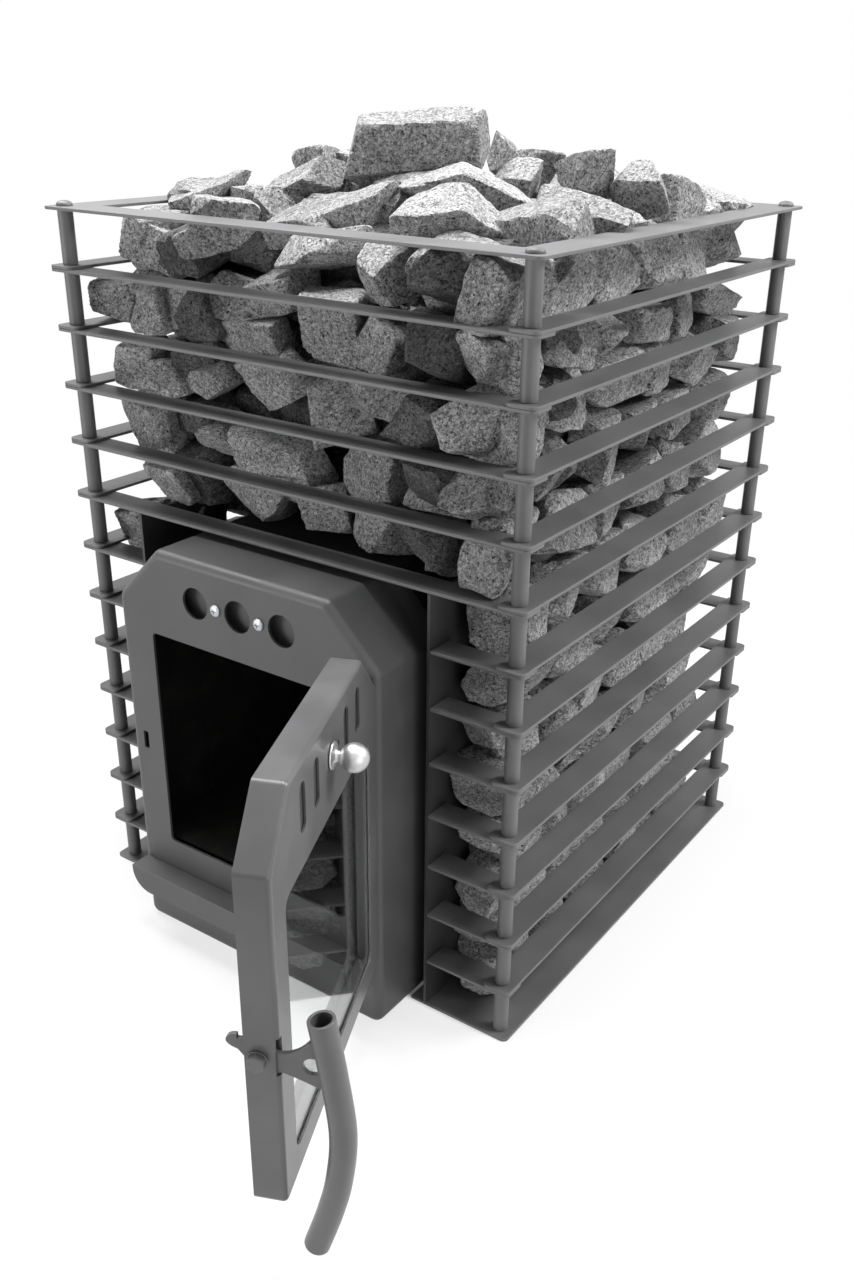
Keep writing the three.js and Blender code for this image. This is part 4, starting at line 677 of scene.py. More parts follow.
# Loose stones of the heap: middle and size in millimetres, lean about each axis in degrees, and seed.
HEAP_STONES = {
    "cap": ((9, -58, 816), (142, 72, 63), (17, 0, 34), 859),
    "left": ((-182, -153, 760), (93, 58, 28), (12, -15, 20), 744),
    "front_left": ((-114, -202, 740), (81, 50, 66), (10, 0, 34), 792),
    "back_left": ((-94, -109, 772), (99, 62, 33), (14, -28, 34), 755),
    "middle": ((12, -154, 758), (81, 50, 37), (14, -15, 20), 744),
    "long": ((88, -86, 782), (125, 75, 35), (6, 15, 34), 758),
    "front": ((127, -168, 765), (109, 67, 42), (9, 0, 34), 709),
    "front_right": ((172, -206, 740), (102, 52, 28), (8, 0, 0), 852),
    "right": ((206, -88, 764), (98, 61, 38), (15, 0, 20), 852),
    "back": ((73, 46, 790), (63, 39, 58), (12, 15, 34), 877),
    "back_right": ((162, 0, 794), (56, 40, 49), (12, 0, 34), 888),
    "far_right": ((214, 18, 776), (58, 40, 57), (12, 0, 20), 806),
}

# Stones wedged into the crown under the heap: middle and size in millimetres.
WEDGED_STONES = [
    ((-121, -45, 789), (52, 50, 42)), ((100, -26, 780), (56, 52, 50)), ((60, 16, 804), (34, 40, 46)),
    ((214, 88, 768), (50, 62, 50)), ((-62, -24, 778), (84, 76, 60)), ((130, 96, 768), (76, 72, 52)),
    ((216, -52, 746), (50, 44, 48)), ((10, -60, 768), (104, 74, 64)), ((-36, -165, 742), (88, 60, 40)),
]

NEAR, MIDDLING, FAR = 5, 4, 3  # how finely a stone is drawn
SHARPNESS = 110  # the higher, the less worn a stone's edges
HACKLE_SCALE = 55  # unevenness of a break about 18 mm across, with finer steps in it
SNUG = 1.04  # wall stones are a little larger than their room, so that they touch
PACKED = 1.1  # and those deeper in or in the crown more so
LOOSE = 0.97  # front stones are a little smaller than their room
CORNER_X = 235 * MM  # a front stone that reaches past this is a corner stone
LOWEST_ROW = 8.5  # front stones below this level rest on the lintel
TIP_ROOM = 12 * MM  # a stone this near the end of its bed stands straight
TIP_SEED = 5000  # keeps the draws for tips apart from those for shapes


class Stone(NamedTuple):
    """A stone's middle, the box it fills, and its lean about each axis in degrees."""

    place: Vector
    size: Vector
    seed: int
    fineness: int = NEAR
    lean: tuple = (0, 0, 0)
    # Below 1, the tone is painted shade on a stone deep inside.
    tone: float = 1


def ball(fineness):
    """Points and faces of an even ball, the start of every stone."""
    bm = bmesh.new()
    bmesh.ops.create_icosphere(bm, subdivisions=fineness, radius=1)
    points = np.array([vert.co for vert in bm.verts])
    faces = np.array([[vert.index for vert in face.verts] for face in bm.faces])
    bm.free()
    return points, faces


BALLS = {fineness: ball(fineness) for fineness in (NEAR, MIDDLING, FAR)}


def any_way(dice):
    """A way out from a stone's middle."""
    return Vector([dice.gauss(0, 1) for _ in range(3)]).normalized()


def corner_way(dice):
    """A way out near one of a block's corners or edges."""
    way = Vector([dice.choice((-1, 0, 1)) for _ in range(3)])
    while way.length < 1.2:
        way = Vector([dice.choice((-1, 0, 1)) for _ in range(3)])
    return (way + Vector([dice.uniform(-0.3, 0.3) for _ in range(3)])).normalized()


def block_planes(dice):
    """The six faces of a leaning block."""
    lean = Euler([dice.uniform(-0.32, 0.32) for _ in range(3)])
    planes = []
    for axis in range(3):
        for sign in (-1, 1):
            face = Vector([dice.uniform(-0.3, 0.3) for _ in range(3)])
            face[axis] = sign
            face.rotate(lean)
            planes.append(face.normalized() / dice.uniform(0.85, 1.0))
    return planes


def drawn_in(ways, planes):
    """The ball's points, each drawn in to the first plane on its way out."""
    towards = np.clip(ways @ np.array(planes).T, 0, None)
    return ways * (towards ** SHARPNESS).sum(axis=1, keepdims=True) ** (-1 / SHARPNESS)


def fitted(points, size):
    """The points centred and stretched to fill a box."""
    low, high = points.min(axis=0), points.max(axis=0)
    return (points - (low + high) / 2) * np.array(size) / (high - low)


def stone_points(stone, settings):
    """A broken stone that fills its box: large faces, chipped edges and an uneven break. Also its tone."""
    dice = random.Random(stone.seed)
    ways = BALLS[stone.fineness][0]
    planes = block_planes(dice)
    block = drawn_in(ways, planes)
    struck = [(corner_way(dice), dice.uniform(0.7, 0.9)) for _ in range(6)]
    chipped = [(any_way(dice), dice.uniform(0.92, 0.98)) for _ in range(7)]
    for way, share in struck + chipped:
        planes.append(way / (share * (block @ np.array(way)).max()))
    points = fitted(drawn_in(ways, planes), stone.size)
    offset = Vector((stone.seed * 0.37, stone.seed * 0.11, stone.seed * 0.73))
    heights = [noise.fractal(Vector(point) * HACKLE_SCALE + offset, 0.6, 2.1, 5) for point in points]
    points = fitted(points + ways * settings.hackle * np.array(heights)[:, None], stone.size)
    turned = Euler([math.radians(angle) for angle in stone.lean]).to_matrix()
    # Each stone's tone differs at random, on top of the painted shade that a stone deep inside carries.
    return points @ np.array(turned).T + np.array(stone.place), stone.tone * dice.uniform(0.82, 1.18)


def stone_piece(name, stones, node, material, settings):
    """One piece made of stones that stands for a CAD node."""
    points, faces, tones = [], [], []
    for stone in stones:
        shaped, tone = stone_points(stone, settings)
        faces.append(BALLS[stone.fineness][1] + sum(map(len, points)))
        points.append(shaped)
        tones += [tone] * len(shaped)
    mesh = bpy.data.meshes.new(name)
    mesh.from_pydata(np.concatenate(points), [], np.concatenate(faces))
    mesh.attributes.new("tone", "FLOAT", "POINT").data.foreach_set("value", tones)
    mesh.shade_smooth()
    mesh.set_sharp_from_angle(angle=settings.crease)
    mesh.materials.append(material)
    obj = bpy.data.objects.new(name, mesh)
    bpy.context.scene.collection.objects.link(obj)
    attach(obj, "stove")
    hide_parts(node)


def spans(start, end, usual, dice):
    """Cuts a stretch into pieces of uneven length near the usual one: middles and lengths."""
    count = max(1, round((end - start) / usual))
    weights = [dice.uniform(0.75, 1.25) for _ in range(count)]
    scale = (end - start) / sum(weights)
    cuts = [start]
    for weight in weights:
        cuts.append(cuts[-1] + weight * scale)
    return [((a + b) / 2, b - a) for a, b in zip(cuts, cuts[1:])]


def wall(start, end, low, high, seed, settings):
    """Courses of stones along a wall: along, up, back, width, height, lean in the wall and seed."""
    dice = random.Random(seed)
    stones = []
    for up, height in spans(low, high, settings.wall_height, dice):
        for along, width in spans(start, end, settings.wall_width, dice):
            lift = dice.uniform(-0.1, 0.1) * height
            middle = min(max(up + lift, low + height / 2), high - height / 2)
            seed += 1
            back = settings.setback * dice.random()
            lean = dice.uniform(-12, 12)
            stones.append((along, middle, back, SNUG * width, SNUG * height, lean, seed))
    return stones


def tipped(seed, up, height, low, high, settings):
    """How far a stone's face tips up, in degrees. One at the bottom or the top of its bed stands straight."""
    if up - height / 2 < low + TIP_ROOM or up + height / 2 > high - TIP_ROOM:
        return 0
    return random.Random(seed + TIP_SEED).uniform(0, math.degrees(settings.tip))


def reach_out(deep, high, tip):
    """Half of what a tipped stone takes up towards the bars."""
    turn = math.radians(tip)
    return (deep * math.cos(turn) + high * math.sin(turn)) / 2


def side_wall(side, start, end, low, high, seed, settings, fineness=MIDDLING, setback=0.0, tone=1):
    """Courses of stones behind the bars of one side."""
    stones = []
    for along, up, back, width, height, lean, number in wall(start, end, low, high, seed, settings):
        tip = tipped(number, up, height, low, high, settings)
        out = STONE_X - reach_out(settings.depth, height, tip) - setback - back
        size = (settings.depth, width, height)
        stones.append(Stone((side * out, along, up), size, number, fineness, (lean, side * tip, 0), tone))
    return stones


def back_wall(start, end, low, high, seed, settings):
    """Courses of stones behind the bars of the back."""
    stones = []
    for along, up, back, width, height, lean, number in wall(start, end, low, high, seed, settings):
        tip = tipped(number, up, height, low, high, settings)
        out = STONE_Y - reach_out(settings.depth, height, tip) - back
        size = (width, settings.depth, height)
        stones.append(Stone((along, out, up), size, number, MIDDLING, (-tip, lean, 0)))
    return stones


def front_stones(settings):
    """The stones that show in the front of the upper cage, and a layer behind them, darker as painted shade.
    """
    dice = random.Random(11)
    lowest = BED_SPLIT + LEVEL_PITCH / 2
    stones = []
    for seed, (x, level, wide, tall) in enumerate(FRONT_STONES, 100):
        width, height = wide * MM, tall * MM
        depth = settings.depth * dice.uniform(0.8, 1.0)
        back = 2 * settings.setback * dice.random()
        tilt, turn = dice.uniform(-16, 16), dice.uniform(-24, 24)
        up = PLATE_TOP + level * LEVEL_PITCH
        tip = tipped(seed, up, height, lowest, TOP_FRAME_LOW, settings)
        corner = abs(x) * MM + width / 2 > CORNER_X
        if corner:
            back, tip = 0, 0
        if corner or level < LOWEST_ROW:
            tilt, turn = 0, 0
        swing = math.radians(turn)
        deep = depth * math.cos(swing) + width * abs(math.sin(swing))
        place = (x * MM, -STONE_Y + reach_out(deep, height, tip) + back, up)
        size = (LOOSE * width, depth, LOOSE * height)
        stones.append(Stone(place, size, seed, NEAR, (tip, tilt, turn)))
    # The layer behind is darker as painted shade, so that the gaps between the front stones look dark.
    behind = -STONE_Y + 1.5 * settings.depth
    reach = 0.94 * STONE_X
    painted_shade_tone = wall(-reach, reach, BED_SPLIT, TOP_FRAME_LOW, 150, settings)
    for along, up, back, width, height, lean, seed in painted_shade_tone:
        size = (PACKED * width, settings.depth, PACKED * height)
        stones.append(Stone((along, behind + back, up), size, seed, FAR, (0, lean, 0), settings.painted_shade_tone))
    return stones


def strip_stones(side, settings):
    """The stones between a cheek plate and the corner of the cage."""
    stones = []
    for seed, (x, level, width, height) in enumerate(STRIP_STONES, 230):
        if x * side > 0:
            up = PLATE_TOP + level * LEVEL_PITCH
            tip = tipped(seed, up, height * MM, PLATE_TOP, TOP_FRAME_LOW, settings)
            out = -STONE_Y + reach_out(settings.depth, height * MM, tip)
            size = (width * MM, settings.depth, height * MM)
            stones.append(Stone((x * MM, out, up), size, seed, NEAR, (tip, 0, 0)))
    return stones


def crown_stones():
    """The layer that closes the cage under the heap, a ring of stones round the flue, and wedged ones."""
    flue_low, flue_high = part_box("flue_spigot")
    flue = (flue_low + flue_high) / 2
    dice = random.Random(31)
    inset, front = 42 * MM, -160 * MM
    reach_x, reach_y = OUTER_X - inset, OUTER_Y - inset
    usual_width, usual_depth = 88 * MM, 82 * MM
    stones = []
    seed = 660
    for y, depth in spans(front, reach_y, usual_depth, dice):
        for x, width in spans(-reach_x, reach_x, usual_width, dice):
            seed += 1
            clear = math.hypot(x - flue.x, y - flue.y) - (width + depth) / 4
            if clear > flue_high.x - FLANGE:
                z = CAGE_TOP - 14 * MM + dice.uniform(-6, 12) * MM
                size = (PACKED * width, PACKED * depth, dice.uniform(56, 74) * MM)
                stones.append(Stone((x, y, z), size, seed, MIDDLING))
    ring, across, count = flue_high.x + 8 * MM, 44 * MM, 11
    for k in range(count):
        seed += 1
        turn = 2 * math.pi * k / count + dice.uniform(-0.1, 0.1)
        place = (flue.x + ring * math.cos(turn), flue.y + ring * math.sin(turn), CAGE_TOP - 12 * MM)
        stones.append(Stone(place, (across, across, dice.uniform(50, 64) * MM), seed, MIDDLING))
    for place, size in WEDGED_STONES:
        seed += 1
        stones.append(Stone(Vector(place) * MM, Vector(size) * MM, seed))
    return stones


# Places on the closed door

def door_face(door):
    """The front of the door's sheet."""
    return FACE_Y - door.standoff - door.depth


def lever_side(door):
    """The outer side of the latch lever, just inside the door's rim."""
    return -door.width / 2 + door.sheet + 0.3 * MM


# Operators

class STOVE_OT_cage(Operator):
    """Builds the flat-bar rings, the posts, the top frame and the base sheet"""

    bl_idname = "stove.cage"
    bl_label = "Cage"
    bl_options = {"REGISTER", "UNDO"}

    def execute(self, context):
        cage = context.scene.stove.cage
        materials = finishes(context.scene.stove.finish)
        for name in RING_NAMES:
            self.ring(name, cage, materials["cage"])
        self.top_frame(cage, materials["cage"])
        for corner, (side_x, side_y) in CORNERS.items():
            self.post(corner, side_x, side_y, cage, materials["cage"])
        self.base(cage, materials["cage"])
        # The cheek plates take the darker paint as painted shade between the portal and the stones.
        dress(["cheek_plate_left", "cheek_plate_right"], materials["painted_shade"])
        return {"FINISHED"}

    def base(self, cage, material):
        """The plate under the cage, notched where the portal stands on the floor."""
        gap = 0.1 * MM
        side, back = PORTAL_HIGH.x + gap, PORTAL_HIGH.y + gap
        corners = [
            (-OUTER_X, -OUTER_Y), (-side, -OUTER_Y), (-side, back), (side, back),
            (side, -OUTER_Y), (OUTER_X, -OUTER_Y), (OUTER_X, OUTER_Y), (-OUTER_X, OUTER_Y),
        ]
        turned, cut = cage.bar_corner, cage.bar_cut
        outline = rounded(corners, [turned, cut, cut, cut, cut, turned, turned, turned])
        bm = prism(outline, 0, PLATE_TOP, "z")
        piece("base_sheet", bm, "stove", material, ["base_plate"], cage.edge)

    def ring(self, name, cage, material):
        """Two side bars on a back bar and a front bar, which stops at the cheek plates beside the portal."""
        low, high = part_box(name)
        bm = bmesh.new()
        for side in (-1, 1):
            edges = sorted((side * OUTER_X, side * (OUTER_X - cage.bar_width)))
            bar = rectangle(*edges, -OUTER_Y, OUTER_Y)
            add_prism(bm, rounded(bar, cage.bar_corner), high.z - cage.bar_thickness, high.z, "z")
        turned, cut = cage.bar_corner, cage.bar_cut
        runs = [((-OUTER_X, OUTER_X, OUTER_Y - cage.bar_width, OUTER_Y), turned)]
        front = (-OUTER_Y, -OUTER_Y + cage.bar_width)
        if low.z < PORTAL_HIGH.z:
            gap = 0.3 * MM
            inner = CHEEK_OUTER + gap
            runs.append(((-OUTER_X, -inner, *front), [turned, cut, cut, turned]))
            runs.append(((inner, OUTER_X, *front), [cut, turned, turned, cut]))
        else:
            runs.append(((-OUTER_X, OUTER_X, *front), turned))
        for run, corners in runs:
            add_prism(bm, rounded(rectangle(*run), corners), low.z, low.z + cage.bar_thickness, "z")
        piece(name + "_bars", bm, "stove", material, [name], cage.edge)

    def top_frame(self, cage, material):
        """The flat frame on the posts, cut from one sheet."""
        outline = rounded(rectangle(-OUTER_X, OUTER_X, -OUTER_Y, OUTER_Y), cage.bar_corner)
        open_x, open_y = OUTER_X - cage.top_width, OUTER_Y - cage.top_width
        inner_corner = 2 * MM
        opening = rounded(rectangle(-open_x, open_x, -open_y, open_y), inner_corner)
        blank = prism(outline, TOP_FRAME_LOW, CAGE_TOP, "z")
        bm = worked(blank, cutters=[prism(opening, TOP_FRAME_LOW - PAST, CAGE_TOP + PAST, "z")])
        piece("top_frame_plate", bm, "stove", material, ["top_frame"], cage.edge)

    def post(self, corner, side_x, side_y, cage, material):
        """A tie rod with a spacer sleeve in every gap and a domed nut on top."""
        rod, sleeve, edge = cage.rod / 2, cage.sleeve / 2, cage.edge
        profile = [(0, 0), (rod, 0)]
        tops = [PLATE_TOP] + [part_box(name)[1].z for name in RING_NAMES]
        bottoms = [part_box(name)[0].z for name in RING_NAMES] + [TOP_FRAME_LOW]
        for low, high in zip(tops, bottoms):
            profile += [(rod, low), (sleeve - edge, low), (sleeve, low + edge)]
            profile += [(sleeve, high - edge), (sleeve - edge, high), (rod, high)]
        gap, rim = 0.3 * MM, MM
        foot = CAGE_TOP + gap
        profile += [(rod, foot), (cage.dome / 2, foot)]
        profile += dome(cage.dome / 2, foot + rim, cage.dome_height - rim, 6)
        bm = bmesh.new()
        inset = cage.bar_width / 2
        place = Matrix.Translation((side_x * (OUTER_X - inset), side_y * (OUTER_Y - inset), 0))
        add_turned(bm, profile, 28, place)
        piece("post_" + corner, bm, "stove", material, ["corner_post_" + corner])


class STOVE_OT_portal(Operator):
    """Builds the folded steel front with its mouth, air holes, screws and ash lip"""

    bl_idname = "stove.portal"
    bl_label = "Portal"
    bl_options = {"REGISTER", "UNDO"}

    def execute(self, context):
        stove = context.scene.stove
        materials = finishes(stove.finish)
        self.front(stove.portal, stove.latch, stove.door, materials, stove.cage.edge)
        self.lip(stove.portal, materials["portal"], stove.cage.edge)
        for name, side in (("left", -0.5), ("right", 0.5)):
            self.screw(name, side, stove.portal, materials["zinc"])
        dress(["hinge_lug_lower", "hinge_lug_upper", "air_deflector"], materials["portal"])
        return {"FINISHED"}

    def front(self, portal, latch, door, materials, edge):
        """The folded sheet with the mouth, the air holes and the keeper slot, sooty inside."""
        corners = chamfered(PORTAL_HIGH.x, PORTAL_LOW.z, PORTAL_HIGH.z, portal.chamfer)
        outline = rounded(corners, portal.bend + 2 * MM)
        through = (FACE_Y - PAST, FACE_Y + 12 * MM, "y")
        mouth = rectangle(
            -portal.mouth_width / 2, portal.mouth_width / 2,
            PLATE_TOP + portal.mouth_bottom, PLATE_TOP + portal.mouth_top,
        )
        cutters = [prism(rounded(mouth, portal.mouth_corner), *through)]
        for step in (-1, 0, 1):
            hole = circle(step * portal.air_pitch, PLATE_TOP + portal.air_height, portal.air_hole / 2, 64)
            cutters.append(prism(hole, *through))
        play = 1.5 * MM
        keeper_x, keeper_z = lever_side(door), PLATE_TOP + latch.height
        keeper = rectangle(
            keeper_x - play, keeper_x + latch.lever + play, keeper_z - 5 * MM, keeper_z + 15 * MM
        )
        cutters.append(prism(rounded(keeper, MM), *through))
        bm = folded_pan(outline, FACE_Y, PORTAL_HIGH.y, portal.bend, portal.sheet, cutters)
        piece(
            "portal_pan", bm, "stove", materials["portal"], ["portal_frame"], edge,
            inside=materials["soot"],
        )

    def lip(self, portal, material, edge):
        """The bent sheet that catches ash below the mouth."""
        low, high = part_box("ash_lip")
        corners = rectangle(low.x, high.x, low.z, high.z)
        outline = rounded(corners, [portal.lip_corner, portal.lip_corner, MM, MM], 8)
        blank = prism(outline, low.y, high.y, "y")
        nose = [
            line for line in blank.edges
            if all(abs(vert.co.y - low.y) + abs(vert.co.z - high.z) < NEARLY for vert in line.verts)
        ]
        bend_edges(blank, nose, portal.lip_bend)
        sheet = portal.sheet
        hollow = rectangle(low.y + sheet, high.y + PAST, low.z - PAST, high.z - sheet)
        hollow = rounded(hollow, [MM, MM, MM, portal.lip_bend - sheet + 0.5 * MM])
        bm = worked(blank, cutters=[prism(hollow, low.x - PAST, high.x + PAST, "x")])
        piece("ash_lip_sheet", bm, "stove", material, ["ash_lip"], edge)

    def screw(self, name, side, portal, material):
        """A pan-head screw with a cross recess."""
        head, shank, reach = portal.screw_head / 2, 2.5 * MM, 17 * MM
        rim, rise = 1.2 * MM, 2.3 * MM
        place = Matrix.Translation((side * portal.air_pitch, FACE_Y, PLATE_TOP + portal.air_height))
        place = place @ Matrix.Rotation(math.pi / 2, 4, "X")
        profile = [(0, -reach), (shank, -reach), (shank, 0), (head, 0)]
        bm = bmesh.new()
        add_turned(bm, profile + dome(head, rim, rise, 7), 32)
        arm, half = 3 * MM, 0.5 * MM
        recess = [rectangle(-arm, arm, -half, half), rectangle(-half, half, -arm, arm)]
        bm = worked(bm, cutters=[prism(slit, 1.6 * MM, PAST, "z") for slit in recess])
        stands_for = ["deflector_screw_" + name]
        piece("screw_" + name, bm, "stove", material, stands_for, place=place, crease=30)


class STOVE_OT_firebox(Operator):
    """Finishes the firebox and its inner plates and builds the flue spigot"""

    bl_idname = "stove.firebox"
    bl_label = "Firebox"
    bl_options = {"REGISTER", "UNDO"}

    def execute(self, context):
        materials = finishes(context.scene.stove.finish)
        dress(["firebox_shell", "hearth_plate", "smoke_baffle"], materials["soot"])
        low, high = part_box("flue_spigot")
        centre = (low + high) / 2
        sheet, edge = 2 * MM, 0.5 * MM
        outer = high.x - centre.x - FLANGE
        inner = outer - sheet
        step = low.z + 4 * MM
        profile = [(inner, low.z), (high.x, low.z), (high.x, step), (outer, step)]
        profile += [(outer, high.z - edge), (outer - edge, high.z), (inner, high.z), (inner, low.z)]
        bm = bmesh.new()
        add_turned(bm, profile, 72, Matrix.Translation((centre.x, centre.y, 0)))
        piece("flue_pipe", bm, "stove", materials["cage"], ["flue_spigot"])
        return {"FINISHED"}


class STOVE_OT_door(Operator):
    """Builds the glazed door with its rope seal"""

    bl_idname = "stove.door"
    bl_label = "Door"
    bl_options = {"REGISTER", "UNDO"}

    def execute(self, context):
        stove = context.scene.stove
        materials = finishes(stove.finish)
        self.pan(stove.door, stove.latch, materials["door"], stove.cage.edge)
        self.rope(stove.door, materials["rope"])
        dress(["window_glass"], materials["glass"])
        dress(["glass_retainer"], materials["door"])
        dress(["hinge_pin_lower", "hinge_pin_upper"], materials["zinc"])
        return {"FINISHED"}

    def pan(self, door, latch, material, edge):
        """The folded sheet with its openings, the ears for the hinge pins and the slider's rails."""
        half = door.width / 2
        face = door_face(door)
        back = FACE_Y - door.standoff
        corners = chamfered(half, PLATE_TOP + door.bottom, PLATE_TOP + door.top, door.chamfer)
        outline = rounded(corners, door.bend + 2 * MM)
        through = (face - PAST, face + 9 * MM, "y")
        window = rectangle(
            door.stile - half, half - door.stile, PLATE_TOP + door.window_bottom, PLATE_TOP + door.window_top
        )
        cutters = [prism(rounded(window, door.window_corner), *through)]
        slot_low = PLATE_TOP + door.slot_bottom
        slot_high = slot_low + door.slot_height
        for offset in (-door.slot_outer, -door.slot_inner, door.slot_inner, door.slot_outer):
            left = door.draught_offset + offset - door.slot_width / 2
            slot = rectangle(left, left + door.slot_width, slot_low, slot_high)
            cutters.append(prism(rounded(slot, door.slot_width / 2 - HAIR, 8), *through))
        middle = (slot_low + slot_high) / 2
        stem = 3.5 * MM
        knob = door.draught_offset
        track = rectangle(knob - stem, knob + stem + door.draught_travel, middle - stem, middle + stem)
        cutters.append(prism(rounded(track, stem - HAIR), *through))
        pivot = PLATE_TOP + latch.height
        lever_end = -half + door.sheet + latch.lever + 0.8 * MM
        lever = rectangle(-half - PAST, lever_end, pivot - 14 * MM, pivot + 20 * MM)
        cutters.append(prism(lever, face - PAST, face + door.sheet + MM, "y"))
        lugs = [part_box("hinge_lug_" + name)[0].z for name in ("lower", "upper")]
        for height in lugs:
            notch = rectangle(face + door.bend, back + PAST, height - 2.5 * MM, height + 15 * MM)
            cutters.append(prism(notch, PIN.x - 3.5 * MM, half + PAST, "x"))
        bm = folded_pan(outline, face, back, door.bend, door.sheet, cutters)
        for height in lugs:
            self.ear(bm, height + 5.5 * MM, face + door.sheet)
        lap = 5 * MM
        for foot, away in ((slot_low - lap, -1), (slot_high + lap, 1)):
            self.rail(bm, foot, away, face + door.sheet, knob)
        piece("door_pan", bm, "door", material, ["door_shell"], edge, AS_SHOWN)

    def ear(self, bm, low, inside):
        """The lug inside the rim that carries a hinge pin."""
        radius, thickness = 7.5 * MM, 5 * MM
        turns = [math.pi * (-0.6 + 1.35 * k / 10) for k in range(11)]
        outline = [(PIN.x - 15 * MM, inside), (PIN.x - 3 * MM, inside)]
        outline += [(PIN.x + radius * math.cos(turn), PIN.y + radius * math.sin(turn)) for turn in turns]
        add_prism(bm, outline, low, low + thickness, "z")

    def rail(self, bm, edge, away, inside, middle):
        """A strip bent over the edge of the draught slider."""
        sheet, half = 2 * MM, 88 * MM
        over, near, far = edge - away * 4 * MM, edge + away * 0.3 * MM, edge + away * 2.3 * MM
        back = inside + 2.6 * MM
        outline = [(inside, near), (back, near), (back, over), (back + sheet, over)]
        outline += [(back + sheet, far), (inside, far)]
        add_prism(bm, outline, middle - half, middle + half, "x")

    def rope(self, door, material):
        """Braided rope in a loop on the back of the glass retainer."""
        overlap, behind, bend, stride = 12 * MM, 15.3 * MM, 14 * MM, 2 * MM
        half = door.width / 2 - door.stile + overlap
        radius = door.rope / 2
        low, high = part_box("glass_retainer")
        loop = rectangle(radius - half, half - radius, low.z + radius, high.z - radius)
        y = door_face(door) + door.sheet + behind + radius
        corners = [Vector((x, y, z)) for x, z in rounded(loop, bend, 8)]
        path = []
        for here, on in zip(corners, corners[1:] + corners[:1]):
            steps = max(1, round((on - here).length / stride))
            path += [here.lerp(on, k / steps) for k in range(steps)]

        def braid(step):
            sides, strands, lay, swell = 20, 4, 0.9, 0.05
            section = []
            for k in range(sides):
                turn = 2 * math.pi * k / sides
                crown = math.sin(strands * turn + step * lay) * math.sin(strands * turn - step * lay)
                reach = radius * (1 - swell + swell * crown)
                section.append((reach * math.cos(turn), reach * math.sin(turn)))
            return section

        bm = bmesh.new()
        faces = add_swept(bm, path, Vector((0, 1, 0)), braid, closed=True)[1]
        bmesh.ops.recalc_face_normals(bm, faces=faces)
        piece("rope_seal", bm, "door", material, ["door_gasket"], place=AS_SHOWN, crease=180)


